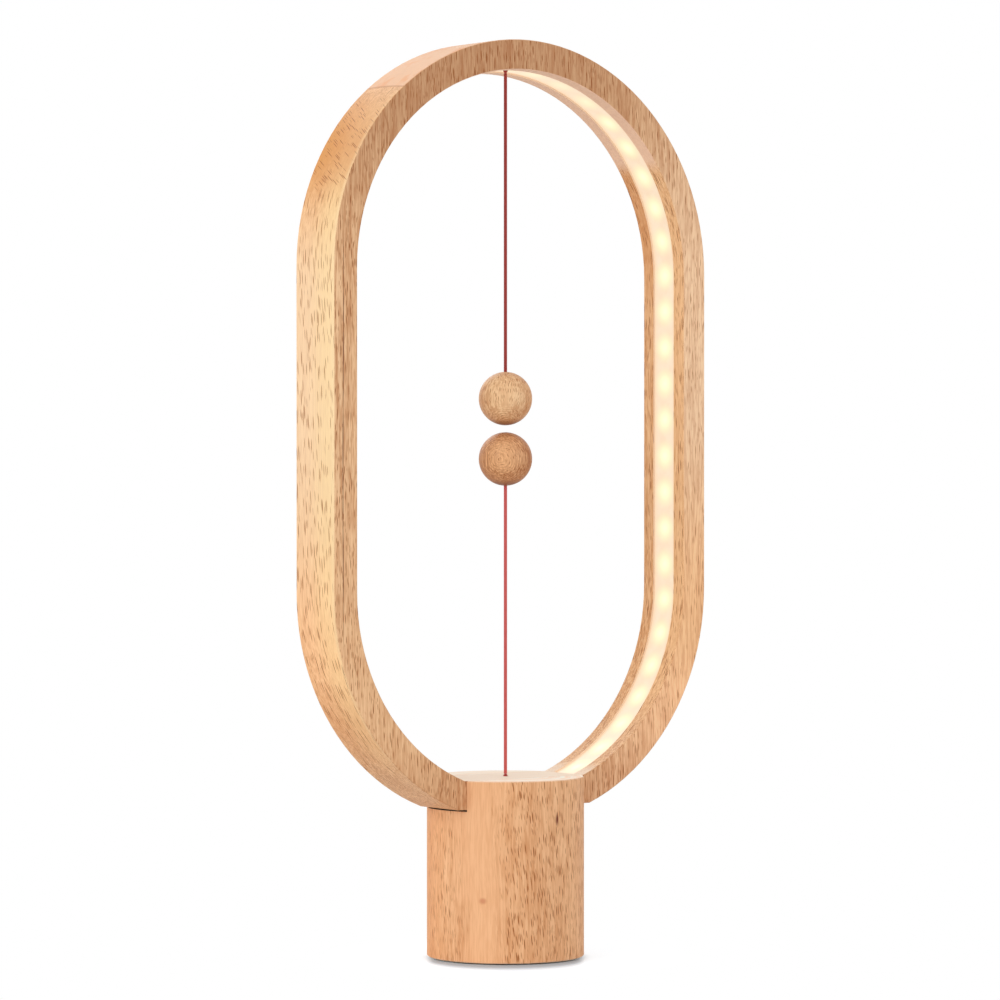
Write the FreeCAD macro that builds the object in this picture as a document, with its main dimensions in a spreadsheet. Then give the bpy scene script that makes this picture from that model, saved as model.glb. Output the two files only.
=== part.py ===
"""Magnetic balance lamp: an upright beech loop with a lit inner face, standing in a turned base.

Two beech balls with magnets float over each other inside the loop. The upper one hangs from the
crown. The lower one pulls its cord up out of the base, and the cord works the switch in there.

Frame: millimetres, +Z up, the loop stands in the XZ plane and its front is -Y.
The origin is on the table, under the middle of the base.
"""

import FreeCAD, Part
import math
import os

import Sketcher

OUT_FOLDER = "parts"

# Driving dimensions, in millimetres. Each one is a cell of the sheet "Sizes".
SIZES = [
    # Loop
    ("loop_width", 200),
    ("loop_top", 400),
    ("loop_sink", 19),
    ("loop_depth", 29),
    ("side_wall", 12),
    ("crown_wall", 13),
    ("loop_edge", 0.5),
    # Groove in the loop's inner face, diffuser and LED tape
    ("groove_width", 14.6),
    ("groove_floor_width", 11),
    ("groove_depth", 6),
    ("diffuser_recess", 0.75),
    ("diffuser_thickness", 2),
    ("diffuser_gap", 0.1),
    ("diffuser_end_gap", 0.3),
    ("tape_width", 10),
    ("tape_thickness", 0.3),
    ("tape_seat", 0.05),
    ("tape_margin", 4),
    ("led_size", 5),
    ("led_height", 1.6),
    ("led_pitch", 16.2),
    # Base
    ("base_diameter", 68.8),
    ("base_top", 79),
    ("base_lift", 0.6),
    ("base_edge", 0.4),
    ("slot_floor", 65.7),
    ("slot_gap", 0.1),
    ("seat_gap", 0.8),
    ("cavity_diameter", 50),
    ("cavity_ceiling", 54),
    # Underside
    ("pad_thickness", 1),
    ("pad_diameter", 51),
    ("pad_opening", 16),
    ("cover_thickness", 3),
    ("cover_diameter", 61.6),
    ("cover_gap", 0.2),
    ("cover_screw_circle", 28),
    ("cover_screw_count", 3),
    ("cover_screw_diameter", 2.4),
    ("cover_screw_length", 14),
    # Ballast and board
    ("ballast_diameter", 44),
    ("ballast_height", 8),
    ("ballast_screw_diameter", 4),
    ("ballast_screw_length", 9),
    ("standoff_width", 5),
    ("standoff_height", 6),
    ("stud_diameter", 3),
    ("stud_length", 4),
    ("board_diameter", 44),
    ("board_thickness", 1.6),
    ("board_rear", 19),
    ("board_screw_circle", 18),
    ("board_screw_diameter", 2.4),
    ("board_screw_length", 4.6),
    ("hole_gap", 0.1),
    # USB inlet
    ("usb_width", 7.5),
    ("usb_height", 2.6),
    ("usb_depth", 5.6),
    ("usb_wall", 0.3),
    ("usb_corner", 0.7),
    ("usb_overhang", 1),
    ("tongue_width", 3.6),
    ("tongue_thickness", 0.6),
    ("tongue_length", 4),
    ("inlet_width", 13),
    ("inlet_height", 7.6),
    ("inlet_corner", 2),
    ("sleeve_wall", 0.9),
    ("sleeve_recess", 0.3),
    # Parts on the board
    ("chip_length", 5),
    ("chip_width", 4),
    ("chip_height", 1.6),
    ("chip_back", 3),
    ("inductor_diameter", 7),
    ("inductor_height", 4.5),
    ("capacitor_diameter", 6.3),
    ("capacitor_height", 7.7),
    ("side_part_offset", 8),
    ("side_part_back", 7.5),
    ("header_length", 6),
    ("header_width", 4.5),
    ("header_height", 5),
    ("header_wall", 0.8),
    ("header_floor", 1.2),
    ("header_offset", 11),
    ("header_front", 6),
    ("plug_height", 6),
    ("wire_diameter", 1),
    ("wire_pitch", 1.3),
    # Pull switch
    ("lever_arm", 18.5),
    ("lever_height", 35.6),
    ("lever_width", 4.2),
    ("lever_thickness", 0.5),
    ("lever_overhang", 3.2),
    ("fork_width", 2.2),
    ("fork_end", 1.4),
    ("eye_diameter", 2.6),
    ("pin_diameter", 1.2),
    ("pin_gap", 0.05),
    ("switch_length", 19.8),
    ("switch_height", 10.2),
    ("switch_thickness", 6.4),
    ("switch_bottom", 37.2),
    ("switch_cord_gap", 1.6),
    ("lug_length", 3.2),
    ("lug_thickness", 0.9),
    ("plunger_arm", 5.5),
    ("plunger_length", 1.6),
    ("plunger_width", 2.6),
    ("plunger_inside", 4),
    ("plunger_gap", 0.05),
    ("terminal_width", 3.2),
    ("terminal_thickness", 0.5),
    ("terminal_height", 4),
    ("terminal_spacing", 7),
    ("switch_screw_spacing", 9.5),
    ("switch_screw_diameter", 2),
    ("switch_screw_height", 7.3),
    ("switch_screw_length", 9.4),
    ("bracket_thickness", 1),
    ("bracket_flange", 10),
    ("bracket_length", 16),
    ("bracket_screw_spacing", 8),
    ("bracket_screw_diameter", 3),
    ("bracket_screw_length", 10),
    # Fixings and passages between loop and base
    ("loop_screw_diameter", 4),
    ("loop_screw_length", 22),
    ("loop_screw_side", 15),
    ("loop_screw_front", 6),
    ("guide_diameter", 4),
    ("guide_bore", 2.4),
    ("guide_cover", 3),
    ("mouth_diameter", 3),
    ("lead_bore", 4),
    ("lead_side", 21.5),
    ("lead_tilt", 33),
    # Cords
    ("cord_diameter", 1.5),
    ("bend_diameter", 1.9),
    ("bend_gap", 0.02),
    ("pivot_drop", 0.35),
    ("anchor_diameter", 4),
    ("anchor_length", 8.6),
    ("anchor_gap", 0.15),
    ("anchor_bore", 1.8),
    ("bead_diameter", 4),
    ("bead_height", 3.5),
    ("bead_gap", 0.15),
    # Balls
    ("ball_diameter", 23.4),
    ("ball_gap", 3),
    ("upper_ball_height", 244.2),
    ("ball_wall", 2.1),
    ("magnet_diameter", 8),
    ("magnet_height", 8),
    ("magnet_gap", 0.1),
    ("plug_seat", 3),
    ("ball_bore", 2),
    ("knot_diameter", 3.4),
]

# Distances and radii that several pieces share, as expressions on the sheet.
LOOP_RADIUS = "Sizes.loop_width / 2"
UPPER_CENTRE = "(Sizes.loop_top - Sizes.loop_width / 2)"
LOWER_CENTRE = "(Sizes.base_top - Sizes.loop_sink + Sizes.loop_width / 2)"
INNER_RADIUS = "(Sizes.loop_width / 2 - Sizes.side_wall)"
INNER_UPPER = f"(Sizes.loop_top - Sizes.crown_wall - {INNER_RADIUS})"
INNER_LOWER = f"({LOWER_CENTRE} + Sizes.crown_wall - Sizes.side_wall)"
LOOP_FLAT = "(Sizes.slot_floor + Sizes.seat_gap)"
BLOCK_HALF = f"sqrt({INNER_RADIUS}^2 - ({INNER_LOWER} - Sizes.base_top)^2)"
BASE_RADIUS = "Sizes.base_diameter / 2"
LEDGE = "(Sizes.pad_thickness + Sizes.cover_thickness)"
BALLAST_TOP = f"({LEDGE} + Sizes.ballast_height)"
BOARD_BOTTOM = f"({BALLAST_TOP} + Sizes.standoff_height)"
BOARD_TOP = f"({BOARD_BOTTOM} + Sizes.board_thickness)"
USB_CENTRE = f"({BOARD_TOP} + Sizes.usb_height / 2)"
HEADER_TOP = f"({BOARD_TOP} + Sizes.header_height)"
PLUG_TOP = f"({BOARD_TOP} + Sizes.header_floor + Sizes.plug_height)"
SWITCH_CENTRE = "(Sizes.switch_cord_gap + Sizes.switch_length / 2)"
SWITCH_TOP = "(Sizes.switch_bottom + Sizes.switch_height)"
SWITCH_SCREW_Z = "(Sizes.switch_bottom + Sizes.switch_screw_height)"
LEVER_BOTTOM = "(Sizes.lever_height - Sizes.lever_thickness / 2)"
LEVER_TOP = "(Sizes.lever_height + Sizes.lever_thickness / 2)"
BRACKET_FRONT = "Sizes.switch_thickness / 2"
BEAD_TOP = f"({LEVER_BOTTOM} - Sizes.bead_gap)"
GUIDE_TOP = "(Sizes.base_top - Sizes.guide_cover)"
DIFFUSER_FACE = "(Sizes.loop_top - Sizes.crown_wall + Sizes.diffuser_recess)"
UPPER_PIVOT = f"({DIFFUSER_FACE} - Sizes.pivot_drop)"
LOWER_BALL_HEIGHT = "(Sizes.upper_ball_height - Sizes.ball_diameter - Sizes.ball_gap)"
BEND_REACH = "(Sizes.bend_diameter / 2 + Sizes.bend_gap)"
KNOT_TOP = "Sizes.plug_seat"
MAGNET_END = "(Sizes.ball_diameter / 2 - Sizes.ball_wall)"
POCKET_RADIUS = "(Sizes.magnet_diameter / 2 + Sizes.magnet_gap)"

# Depths into the wood from the loop's inner face.
DIFFUSER_FRONT = "Sizes.diffuser_recess"
DIFFUSER_BACK = "(Sizes.diffuser_recess + Sizes.diffuser_thickness)"
LEDGE_DEPTH = f"({DIFFUSER_BACK} + Sizes.tape_seat)"
TAPE_BACK = "(Sizes.groove_depth - Sizes.tape_seat)"
TAPE_FRONT = f"({TAPE_BACK} - Sizes.tape_thickness)"
TAPE_END = f"({BLOCK_HALF} + Sizes.tape_margin)"

AXIS_TURNS = {
    "X": FreeCAD.Rotation(FreeCAD.Vector(0, 1, 0), 90),
    "Y": FreeCAD.Rotation(FreeCAD.Vector(1, 0, 0), -90),
    "Z": FreeCAD.Rotation(),
    "-Z": FreeCAD.Rotation(FreeCAD.Vector(1, 0, 0), 180),
}

doc = FreeCAD.newDocument("MagneticBalanceLamp")
size = {}
sub_parts = []


# ---------------------------------------------------------------- sheet and helpers


def make_sheet():
    """The spreadsheet that drives every feature, and the same values for code that needs numbers."""
    sheet = doc.addObject("Spreadsheet::Sheet", "Sizes")
    for row, (alias, value) in enumerate(SIZES, start=1):
        sheet.set(f"A{row}", alias)
        sheet.set(f"B{row}", str(value))
        sheet.setAlias(f"B{row}", alias)
    doc.recompute()
    for alias, _ in SIZES:
        size[alias] = float(sheet.get(alias))


def new_part(name, several=False):
    """An empty PartDesign body. With several=True it may hold separate solids, such as screws."""
    body = doc.addObject("PartDesign::Body", name)
    body.Label = name
    body.AllowCompound = several
    sub_parts.append(body)
    return body


def origin_of(body, role):
    """The body's own origin plane or axis with this role, such as XZ_Plane."""
    return next(item for item in body.Origin.OriginFeatures if item.Role == role)


def put(item, at, axis="Z"):
    """Places an object: at is three expressions, and its own Z points along axis."""
    item.Placement = FreeCAD.Placement(FreeCAD.Vector(), AXIS_TURNS[axis])
    for letter, expression in zip("xyz", at):
        if expression != "0":
            item.setExpression(f"Placement.Base.{letter}", expression)
    return item


def bound(item, **expressions):
    """Ties an object's properties to expressions on the sheet."""
    for name, expression in expressions.items():
        item.setExpression(name, expression)
    return item


def rod(body, name, radius, length, at=("0", "0", "0"), axis="Z", cut=False):
    """A cylinder that starts at a point and runs along an axis."""
    kind = "SubtractiveCylinder" if cut else "AdditiveCylinder"
    item = body.newObject("PartDesign::" + kind, name)
    bound(item, Radius=radius, Height=length)
    return put(item, at, axis)


def block(body, name, low, spans, cut=False):
    """A box from its lowest corner."""
    kind = "SubtractiveBox" if cut else "AdditiveBox"
    item = body.newObject("PartDesign::" + kind, name)
    bound(item, Length=spans[0], Width=spans[1], Height=spans[2])
    return put(item, low)


def ball(body, name, radius, at=("0", "0", "0"), cut=False):
    """A sphere about a point."""
    kind = "SubtractiveSphere" if cut else "AdditiveSphere"
    item = body.newObject("PartDesign::" + kind, name)
    bound(item, Radius=radius)
    return put(item, at)


def cone(body, name, radii, height, at, cut=False, axis="Z"):
    """A cone frustum, radii at its start and its end."""
    kind = "SubtractiveCone" if cut else "AdditiveCone"
    item = body.newObject("PartDesign::" + kind, name)
    bound(item, Radius1=radii[0], Radius2=radii[1], Height=height)
    return put(item, at, axis)


def around(body, name, originals, count):
    """Repeats features evenly round the body's Z axis."""
    doc.recompute()
    pattern = body.newObject("PartDesign::PolarPattern", name)
    pattern.Originals = originals
    pattern.Axis = (origin_of(body, "Z_Axis"), [""])
    pattern.Angle = 360
    bound(pattern, Occurrences=count)
    body.Tip = pattern
    return pattern


def in_a_row(body, name, originals, length, count=2):
    """Repeats features along the body's X axis, the last one at the given length."""
    doc.recompute()
    pattern = body.newObject("PartDesign::LinearPattern", name)
    pattern.Originals = originals
    pattern.Direction = (origin_of(body, "X_Axis"), [""])
    bound(pattern, Length=length)
    pattern.Occurrences = count
    body.Tip = pattern
    return pattern


def sketch_on(body, name, plane):
    """An empty sketch on one of the body's own origin planes."""
    sketch = body.newObject("Sketcher::SketchObject", name)
    sketch.AttachmentSupport = (origin_of(body, plane), [""])
    sketch.MapMode = "FlatFace"
    return sketch


def pin_point(sketch, item, end, across=None, up=None):
    """Pins a point of a sketch element (1 start, 2 end, 3 centre) at distances from the origin."""
    names = {1: "StartPoint", 2: "EndPoint", 3: "Center"}
    for kind, letter, expression in (("DistanceX", "x", across), ("DistanceY", "y", up)):
        if expression is None:
            continue
        now = getattr(getattr(sketch.Geometry[item], names[end]), letter)
        index = sketch.addConstraint(Sketcher.Constraint(kind, -1, 1, item, end, now))
        sketch.setExpression(f"Constraints[{index}]", expression)


def lower_centre():
    """Height of the centre of the loop's lower half circle."""
    return size["base_top"] - size["loop_sink"] + size["loop_width"] / 2


def inner_lower_centre():
    """Height of the centre of the lower half circle of the loop's inner outline."""
    return lower_centre() + size["crown_wall"] - size["side_wall"]


def tape_end():
    """Distance from the middle to the LED tape's ends, just outside the loop's foot block."""
    inner = size["loop_width"] / 2 - size["side_wall"]
    block_half = math.sqrt(inner**2 - (inner_lower_centre() - size["base_top"]) ** 2)
    return block_half + size["tape_margin"]


def stadium(body, name, radius, upper, lower):
    """A closed upright oval: two half circles about (0, upper) and (0, lower), joined by straights."""
    sketch = sketch_on(body, name, "XZ_Plane")
    r = size["loop_width"] / 2
    up = size["loop_top"] - r
    low = lower_centre()
    z_axis = FreeCAD.Vector(0, 0, 1)
    crown = Part.ArcOfCircle(Part.Circle(FreeCAD.Vector(0, up, 0), z_axis, r), 0, math.pi)
    foot = Part.ArcOfCircle(Part.Circle(FreeCAD.Vector(0, low, 0), z_axis, r), math.pi, 2 * math.pi)
    left = Part.LineSegment(FreeCAD.Vector(-r, up, 0), FreeCAD.Vector(-r, low, 0))
    right = Part.LineSegment(FreeCAD.Vector(r, low, 0), FreeCAD.Vector(r, up, 0))
    for item in (crown, left, foot, right):
        sketch.addGeometry(item)
    for item in range(4):
        sketch.addConstraint(Sketcher.Constraint("Coincident", item, 2, (item + 1) % 4, 1))
    for arc, height in ((0, upper), (2, lower)):
        sketch.addConstraint(Sketcher.Constraint("PointOnObject", arc, 3, -2))
        sketch.addConstraint(Sketcher.Constraint("Horizontal", arc, 1, arc, 3))
        sketch.addConstraint(Sketcher.Constraint("Horizontal", arc, 2, arc, 3))
        pin_point(sketch, arc, 3, up=height)
        index = sketch.addConstraint(Sketcher.Constraint("Radius", arc, r))
        sketch.setExpression(f"Constraints[{index}]", radius)
    return sketch


def inner_stadium(body, name, depth="0"):
    """The loop's inner outline, moved into the wood by a depth."""
    return stadium(body, name, f"{INNER_RADIUS} + {depth}", INNER_UPPER, INNER_LOWER)


def rounded_rectangle(body, name, plane, spans, corner, centre_up, numbers):
    """A rectangle with round corners, centred on the vertical axis at a height."""
    sketch = sketch_on(body, name, plane)
    width, height, radius, up = numbers
    half, rise = width / 2 - radius, height / 2 - radius
    z_axis = FreeCAD.Vector(0, 0, 1)
    centres = [(half, up + rise), (-half, up + rise), (-half, up - rise), (half, up - rise)]
    for turn, (x, y) in enumerate(centres):
        circle = Part.Circle(FreeCAD.Vector(x, y, 0), z_axis, radius)
        sketch.addGeometry(Part.ArcOfCircle(circle, turn * math.pi / 2, (turn + 1) * math.pi / 2))
    for turn in range(4):
        start = sketch.Geometry[turn].EndPoint
        end = sketch.Geometry[(turn + 1) % 4].StartPoint
        sketch.addGeometry(Part.LineSegment(start, end))
    for turn in range(4):
        follower = (turn + 1) % 4
        sketch.addConstraint(Sketcher.Constraint("Tangent", turn, 2, 4 + turn, 1))
        sketch.addConstraint(Sketcher.Constraint("Tangent", 4 + turn, 2, follower, 1))
    for line, kind in ((4, "Horizontal"), (5, "Vertical"), (6, "Horizontal"), (7, "Vertical")):
        sketch.addConstraint(Sketcher.Constraint(kind, line))
    for arc in (1, 2, 3):
        sketch.addConstraint(Sketcher.Constraint("Equal", 0, arc))
    index = sketch.addConstraint(Sketcher.Constraint("Radius", 0, radius))
    sketch.setExpression(f"Constraints[{index}]", corner)
    pin_point(sketch, 0, 3, f"{spans[0]} / 2 - {corner}", f"{centre_up} + {spans[1]} / 2 - {corner}")
    pin_point(sketch, 2, 3, f"-{spans[0]} / 2 + {corner}", f"{centre_up} - {spans[1]} / 2 + {corner}")
    return sketch


def pad(body, name, sketch, length, symmetric=True, backwards=False):
    """Extrudes a sketch, both ways from its plane or to one side."""
    item = body.newObject("PartDesign::Pad", name)
    item.Profile = sketch
    item.SideType = "Symmetric" if symmetric else "One side"
    item.Reversed = backwards
    return bound(item, Length=length)


def pocket(body, name, sketch, length, symmetric=True, backwards=False):
    """Cuts a sketch out of the body, both ways from its plane or to one side."""
    item = body.newObject("PartDesign::Pocket", name)
    item.Profile = sketch
    item.SideType = "Symmetric" if symmetric else "One side"
    item.Reversed = backwards
    return bound(item, Length=length)


def ease_edges(body, name, base, width, wanted, flat=False):
    """Rounds the edges of a feature for which wanted(edge) is true, or cuts them flat."""
    doc.recompute()
    edges = [f"Edge{i}" for i, edge in enumerate(base.Shape.Edges, start=1) if wanted(edge)]
    item = body.newObject("PartDesign::Chamfer" if flat else "PartDesign::Fillet", name)
    item.Base = (base, edges)
    item.setExpression("Size" if flat else "Radius", width)
    return item


def ends_at(edge, axis, places):
    """True if the whole edge lies in a plane at one of these places along an axis."""
    low = getattr(edge.BoundBox, f"{axis}Min")
    high = getattr(edge.BoundBox, f"{axis}Max")
    return any(abs(low - place) < 0.01 and abs(high - place) < 0.01 for place in places)


def cross_recess(body, name, width, depth, at, below=True):
    """The crossed slot of a screw's head, cut as two thin boxes: at is the middle of its face."""
    thin = f"({width}) / 5"
    low = f"{at[2]} - 0.01" if below else f"{at[2]} - ({depth})"
    along = block(
        body, name + "Along", (f"{at[0]} - ({width}) / 2", f"{at[1]} - {thin} / 2", low),
        (width, thin, depth), cut=True,
    )
    across = block(
        body, name + "Across", (f"{at[0]} - {thin} / 2", f"{at[1]} - ({width}) / 2", low),
        (thin, width, depth), cut=True,
    )
    return [along, across]


def countersunk_screw(body, name, diameter, length, at):
    """A countersunk screw that points up, with its flat head face down at a point."""
    head = f"({diameter}) / 2"
    shank = rod(body, name + "Shank", f"({diameter}) / 2", length, at)
    top = cone(body, name + "Head", (f"({diameter}) * 0.95", head), head, at)
    return [shank, top] + cross_recess(body, name + "Recess", f"({diameter})", f"({diameter}) / 3", at)


def tube_along(points, radius, bend):
    """A round wire along straight runs joined by tangent arcs."""
    corners = [FreeCAD.Vector(*point) for point in points]
    edges = []
    start = corners[0]
    for before, here, after in zip(corners, corners[1:], corners[2:]):
        into = (here - before).normalize()
        out = (after - here).normalize()
        turn = into.getAngle(out)
        set_back = bend * math.tan(turn / 2)
        first = here - into * set_back
        last = here + out * set_back
        inwards = (out - into).normalize()
        middle = here + inwards * (bend / math.cos(turn / 2) - bend)
        edges.append(Part.LineSegment(start, first).toShape())
        edges.append(Part.Arc(first, middle, last).toShape())
        start = last
    edges.append(Part.LineSegment(start, corners[-1]).toShape())
    spine = Part.Wire(edges)
    normal = (corners[1] - corners[0]).normalize()
    profile = Part.Wire([Part.Circle(corners[0], normal, radius).toShape()])
    return spine.makePipeShell([profile], True, True)


def fixed_shape(name, shape):
    """A sub-part whose shape is made in code from the sheet's values."""
    item = doc.addObject("Part::Feature", name)
    item.Label = name
    item.Shape = shape
    item.Placement = FreeCAD.Placement()
    sub_parts.append(item)
    return item


# ---------------------------------------------------------------- loop and light


def make_loop_frame():
    """The beech loop: a stadium frame with a stepped groove inside and a flat-topped foot block."""
    body = new_part("loop_frame")
    outline = stadium(body, "LoopOutline", LOOP_RADIUS, UPPER_CENTRE, LOWER_CENTRE)
    pad(body, "LoopSlab", outline, "Sizes.loop_depth")
    block(
        body, "LoopFlat", (f"-{LOOP_RADIUS}", "-Sizes.loop_depth", "0"),
        ("Sizes.loop_width", "2 * Sizes.loop_depth", LOOP_FLAT), cut=True,
    )
    window = pocket(
        body, "LoopWindow", inner_stadium(body, "WindowOutline"), "2 * Sizes.loop_depth"
    )
    faces = [size["loop_depth"] / 2, -size["loop_depth"] / 2]
    ease_edges(body, "LoopEdges", window, "Sizes.loop_edge", lambda edge: ends_at(edge, "Y", faces))
    pocket(body, "GrooveMouth", inner_stadium(body, "LedgeOutline", LEDGE_DEPTH), "Sizes.groove_width")
    pocket(body, "GrooveFloor", inner_stadium(body, "FloorOutline", "Sizes.groove_depth"), "Sizes.groove_floor_width")
    block(
        body, "FootBlock", (f"-{BLOCK_HALF}", "-Sizes.loop_depth / 2", LOOP_FLAT),
        (f"2 * {BLOCK_HALF}", "Sizes.loop_depth", f"Sizes.base_top - {LOOP_FLAT}"),
    )
    rod(
        body, "AnchorBore", "Sizes.anchor_diameter / 2 + Sizes.hole_gap / 2",
        "Sizes.anchor_length + Sizes.anchor_gap", ("0", "0", DIFFUSER_FACE), cut=True,
    )
    rod(
        body, "GuideBore", "Sizes.guide_diameter / 2 + Sizes.hole_gap / 2",
        f"{GUIDE_TOP} - Sizes.slot_floor", ("0", "0", "Sizes.slot_floor"), cut=True,
    )
    rod(
        body, "CordMouth", "Sizes.mouth_diameter / 2", "Sizes.base_top",
        ("0", "0", "Sizes.slot_floor"), cut=True,
    )
    pilot = rod(
        body, "ScrewPilot", "Sizes.loop_screw_diameter / 2 + Sizes.hole_gap / 2",
        "Sizes.cavity_ceiling + Sizes.loop_screw_length - Sizes.slot_floor + Sizes.hole_gap",
        ("Sizes.loop_screw_side", "-Sizes.loop_screw_front", "Sizes.slot_floor"), cut=True,
    )
    around(body, "ScrewPilots", [pilot], "2")
    lead = body.newObject("PartDesign::SubtractiveCylinder", "LeadBore")
    bound(
        lead, Radius="Sizes.lead_bore / 2 - 2 * Sizes.hole_gap",
        Height=f"({TAPE_END} - Sizes.lead_side + Sizes.lead_bore / 2) / cos(Sizes.lead_tilt * 1 deg)",
    )
    tilt = FreeCAD.Rotation(FreeCAD.Vector(0, 1, 0), size["lead_tilt"] - 90)
    lead.Placement = FreeCAD.Placement(FreeCAD.Vector(), tilt)
    lead.setExpression("Placement.Base.x", "-Sizes.lead_side + Sizes.lead_bore / 2")
    lead.setExpression(
        "Placement.Base.z", f"{LOOP_FLAT} - Sizes.lead_bore / 2 * tan(Sizes.lead_tilt * 1 deg)"
    )
    return body


def cut_foot_end(body, name, half_width):
    """Opens a ring that follows the groove where the loop's foot block stands."""
    return block(
        body, name, (f"-({half_width})", "-Sizes.loop_depth", "0"),
        (f"2 * ({half_width})", "2 * Sizes.loop_depth", "Sizes.base_top + Sizes.loop_edge * 10"),
        cut=True,
    )


def make_ring(name, outer, inner, width, half_gap, hole):
    """A thin strip bent round inside the groove, open over the foot block."""
    body = new_part(name)
    pad(body, name + "Slab", inner_stadium(body, name + "Outer", outer), width)
    pocket(body, name + "Window", inner_stadium(body, name + "Inner", inner), f"2 * ({width})")
    cut_foot_end(body, name + "Ends", half_gap)
    rod(body, name + "CordHole", hole, "Sizes.crown_wall", ("0", "0", INNER_UPPER + f" + {INNER_RADIUS}"),
        cut=True)
    return body


def led_places():
    """Middle and direction of each LED on the tape, both sides, measured from the crown."""
    radius = size["loop_width"] / 2 - size["side_wall"] + size["groove_depth"]
    radius -= 2 * size["tape_seat"] + size["tape_thickness"]
    upper = size["loop_top"] - size["crown_wall"] - (size["loop_width"] / 2 - size["side_wall"])
    lower = inner_lower_centre()
    quarter = radius * math.pi / 2
    last = quarter + upper - lower + radius * math.acos((tape_end() + size["led_size"]) / radius)
    places = []
    for step in range(1, int(last / size["led_pitch"]) + 1):
        run = step * size["led_pitch"]
        if run < quarter:
            angle = run / radius
            centre = upper
        elif run < quarter + upper - lower:
            angle = math.pi / 2
            centre = upper - (run - quarter)
        else:
            angle = math.pi / 2 + (run - quarter - (upper - lower)) / radius
            centre = lower
        for side in (-1, 1):
            outwards = FreeCAD.Vector(side * math.sin(angle), 0, math.cos(angle))
            places.append((FreeCAD.Vector(0, 0, centre) + outwards * radius, outwards))
    return places


def make_leds():
    """The LED chips, each a small box that faces into the loop."""
    length, height = size["led_size"], size["led_height"]
    chips = []
    for middle, outwards in led_places():
        corner = FreeCAD.Vector(-length / 2, -length / 2, 0)
        chip = Part.makeBox(length, length, height, corner)
        turn = FreeCAD.Rotation(FreeCAD.Vector(0, 0, 1), -outwards)
        chip.Placement = FreeCAD.Placement(middle, turn)
        chips.append(chip)
    return fixed_shape("leds", Part.Compound(chips))


def make_anchor():
    """The bush in the crown that the upper cord hangs from, with a round seat for its bend."""
    body = new_part("upper_cord_anchor")
    rod(body, "AnchorBush", "Sizes.anchor_diameter / 2", "Sizes.anchor_length", ("0", "0", DIFFUSER_FACE))
    rod(body, "AnchorHole", "Sizes.anchor_bore / 2", "Sizes.anchor_length", ("0", "0", DIFFUSER_FACE),
        cut=True)
    ball(body, "AnchorSeat", "Sizes.bend_diameter / 2 + Sizes.anchor_gap", ("0", "0", UPPER_PIVOT),
         cut=True)
    return body


# ---------------------------------------------------------------- base


def make_base_body():
    """The turned base: cross slot on top, cavity from below, passages through the web between them."""
    body = new_part("base_body")
    turning = rod(
        body, "Turning", BASE_RADIUS, "Sizes.base_top - Sizes.base_lift", ("0", "0", "Sizes.base_lift")
    )
    levels = [size["base_top"], size["base_lift"]]
    ease_edges(
        body, "BaseEdges", turning, "Sizes.base_edge", lambda edge: ends_at(edge, "Z", levels), flat=True
    )
    block(
        body, "CrossSlot",
        ("-Sizes.base_diameter", "-Sizes.loop_depth / 2 - Sizes.slot_gap", "Sizes.slot_floor"),
        ("2 * Sizes.base_diameter", "Sizes.loop_depth + 2 * Sizes.slot_gap", "Sizes.base_top"),
        cut=True,
    )
    rod(
        body, "CoverRecess", "Sizes.cover_diameter / 2 + Sizes.cover_gap", LEDGE, cut=True,
    )
    rod(body, "Cavity", "Sizes.cavity_diameter / 2", "Sizes.cavity_ceiling", cut=True)
    web = "Sizes.slot_floor - Sizes.cavity_ceiling"
    rod(
        body, "GuideBore", "Sizes.guide_diameter / 2 + Sizes.hole_gap / 2", web,
        ("0", "0", "Sizes.cavity_ceiling"), cut=True,
    )
    rod(
        body, "LeadBore", "Sizes.lead_bore / 2", web, ("-Sizes.lead_side", "0", "Sizes.cavity_ceiling"),
        cut=True,
    )
    cover_pilot = rod(
        body, "CoverPilot", "Sizes.cover_screw_diameter / 2 + Sizes.hole_gap / 2",
        f"Sizes.pad_thickness + Sizes.cover_screw_length + Sizes.hole_gap - {LEDGE}",
        ("Sizes.cover_screw_circle", "0", LEDGE), cut=True,
    )
    around(body, "CoverPilots", [cover_pilot], "Sizes.cover_screw_count")
    at = ("Sizes.loop_screw_side", "-Sizes.loop_screw_front", "Sizes.cavity_ceiling")
    bore = rod(body, "LoopScrewBore", "Sizes.loop_screw_diameter / 2 + Sizes.hole_gap", web, at, cut=True)
    sink = cone(
        body, "LoopScrewSink",
        ("Sizes.loop_screw_diameter * 0.95 + 2 * Sizes.hole_gap", "Sizes.loop_screw_diameter / 2"),
        "Sizes.loop_screw_diameter / 2 + 2 * Sizes.hole_gap", at, cut=True,
    )
    around(body, "LoopScrewBores", [bore, sink], "2")
    first = rod(
        body, "BracketPilot", "Sizes.bracket_screw_diameter / 2 + Sizes.hole_gap / 2",
        "Sizes.bracket_screw_length",
        (
            f"{SWITCH_CENTRE} - Sizes.bracket_screw_spacing / 2",
            f"{BRACKET_FRONT} + Sizes.bracket_flange / 2 + Sizes.bracket_thickness / 2",
            "Sizes.cavity_ceiling",
        ),
        cut=True,
    )
    in_a_row(body, "BracketPilots", [first], "Sizes.bracket_screw_spacing")
    inlet = inlet_outline(body, "InletOutline", "Sizes.sleeve_wall + Sizes.hole_gap", 1)
    pocket(body, "InletHole", inlet, "Sizes.base_diameter", symmetric=False)
    return body


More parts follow.
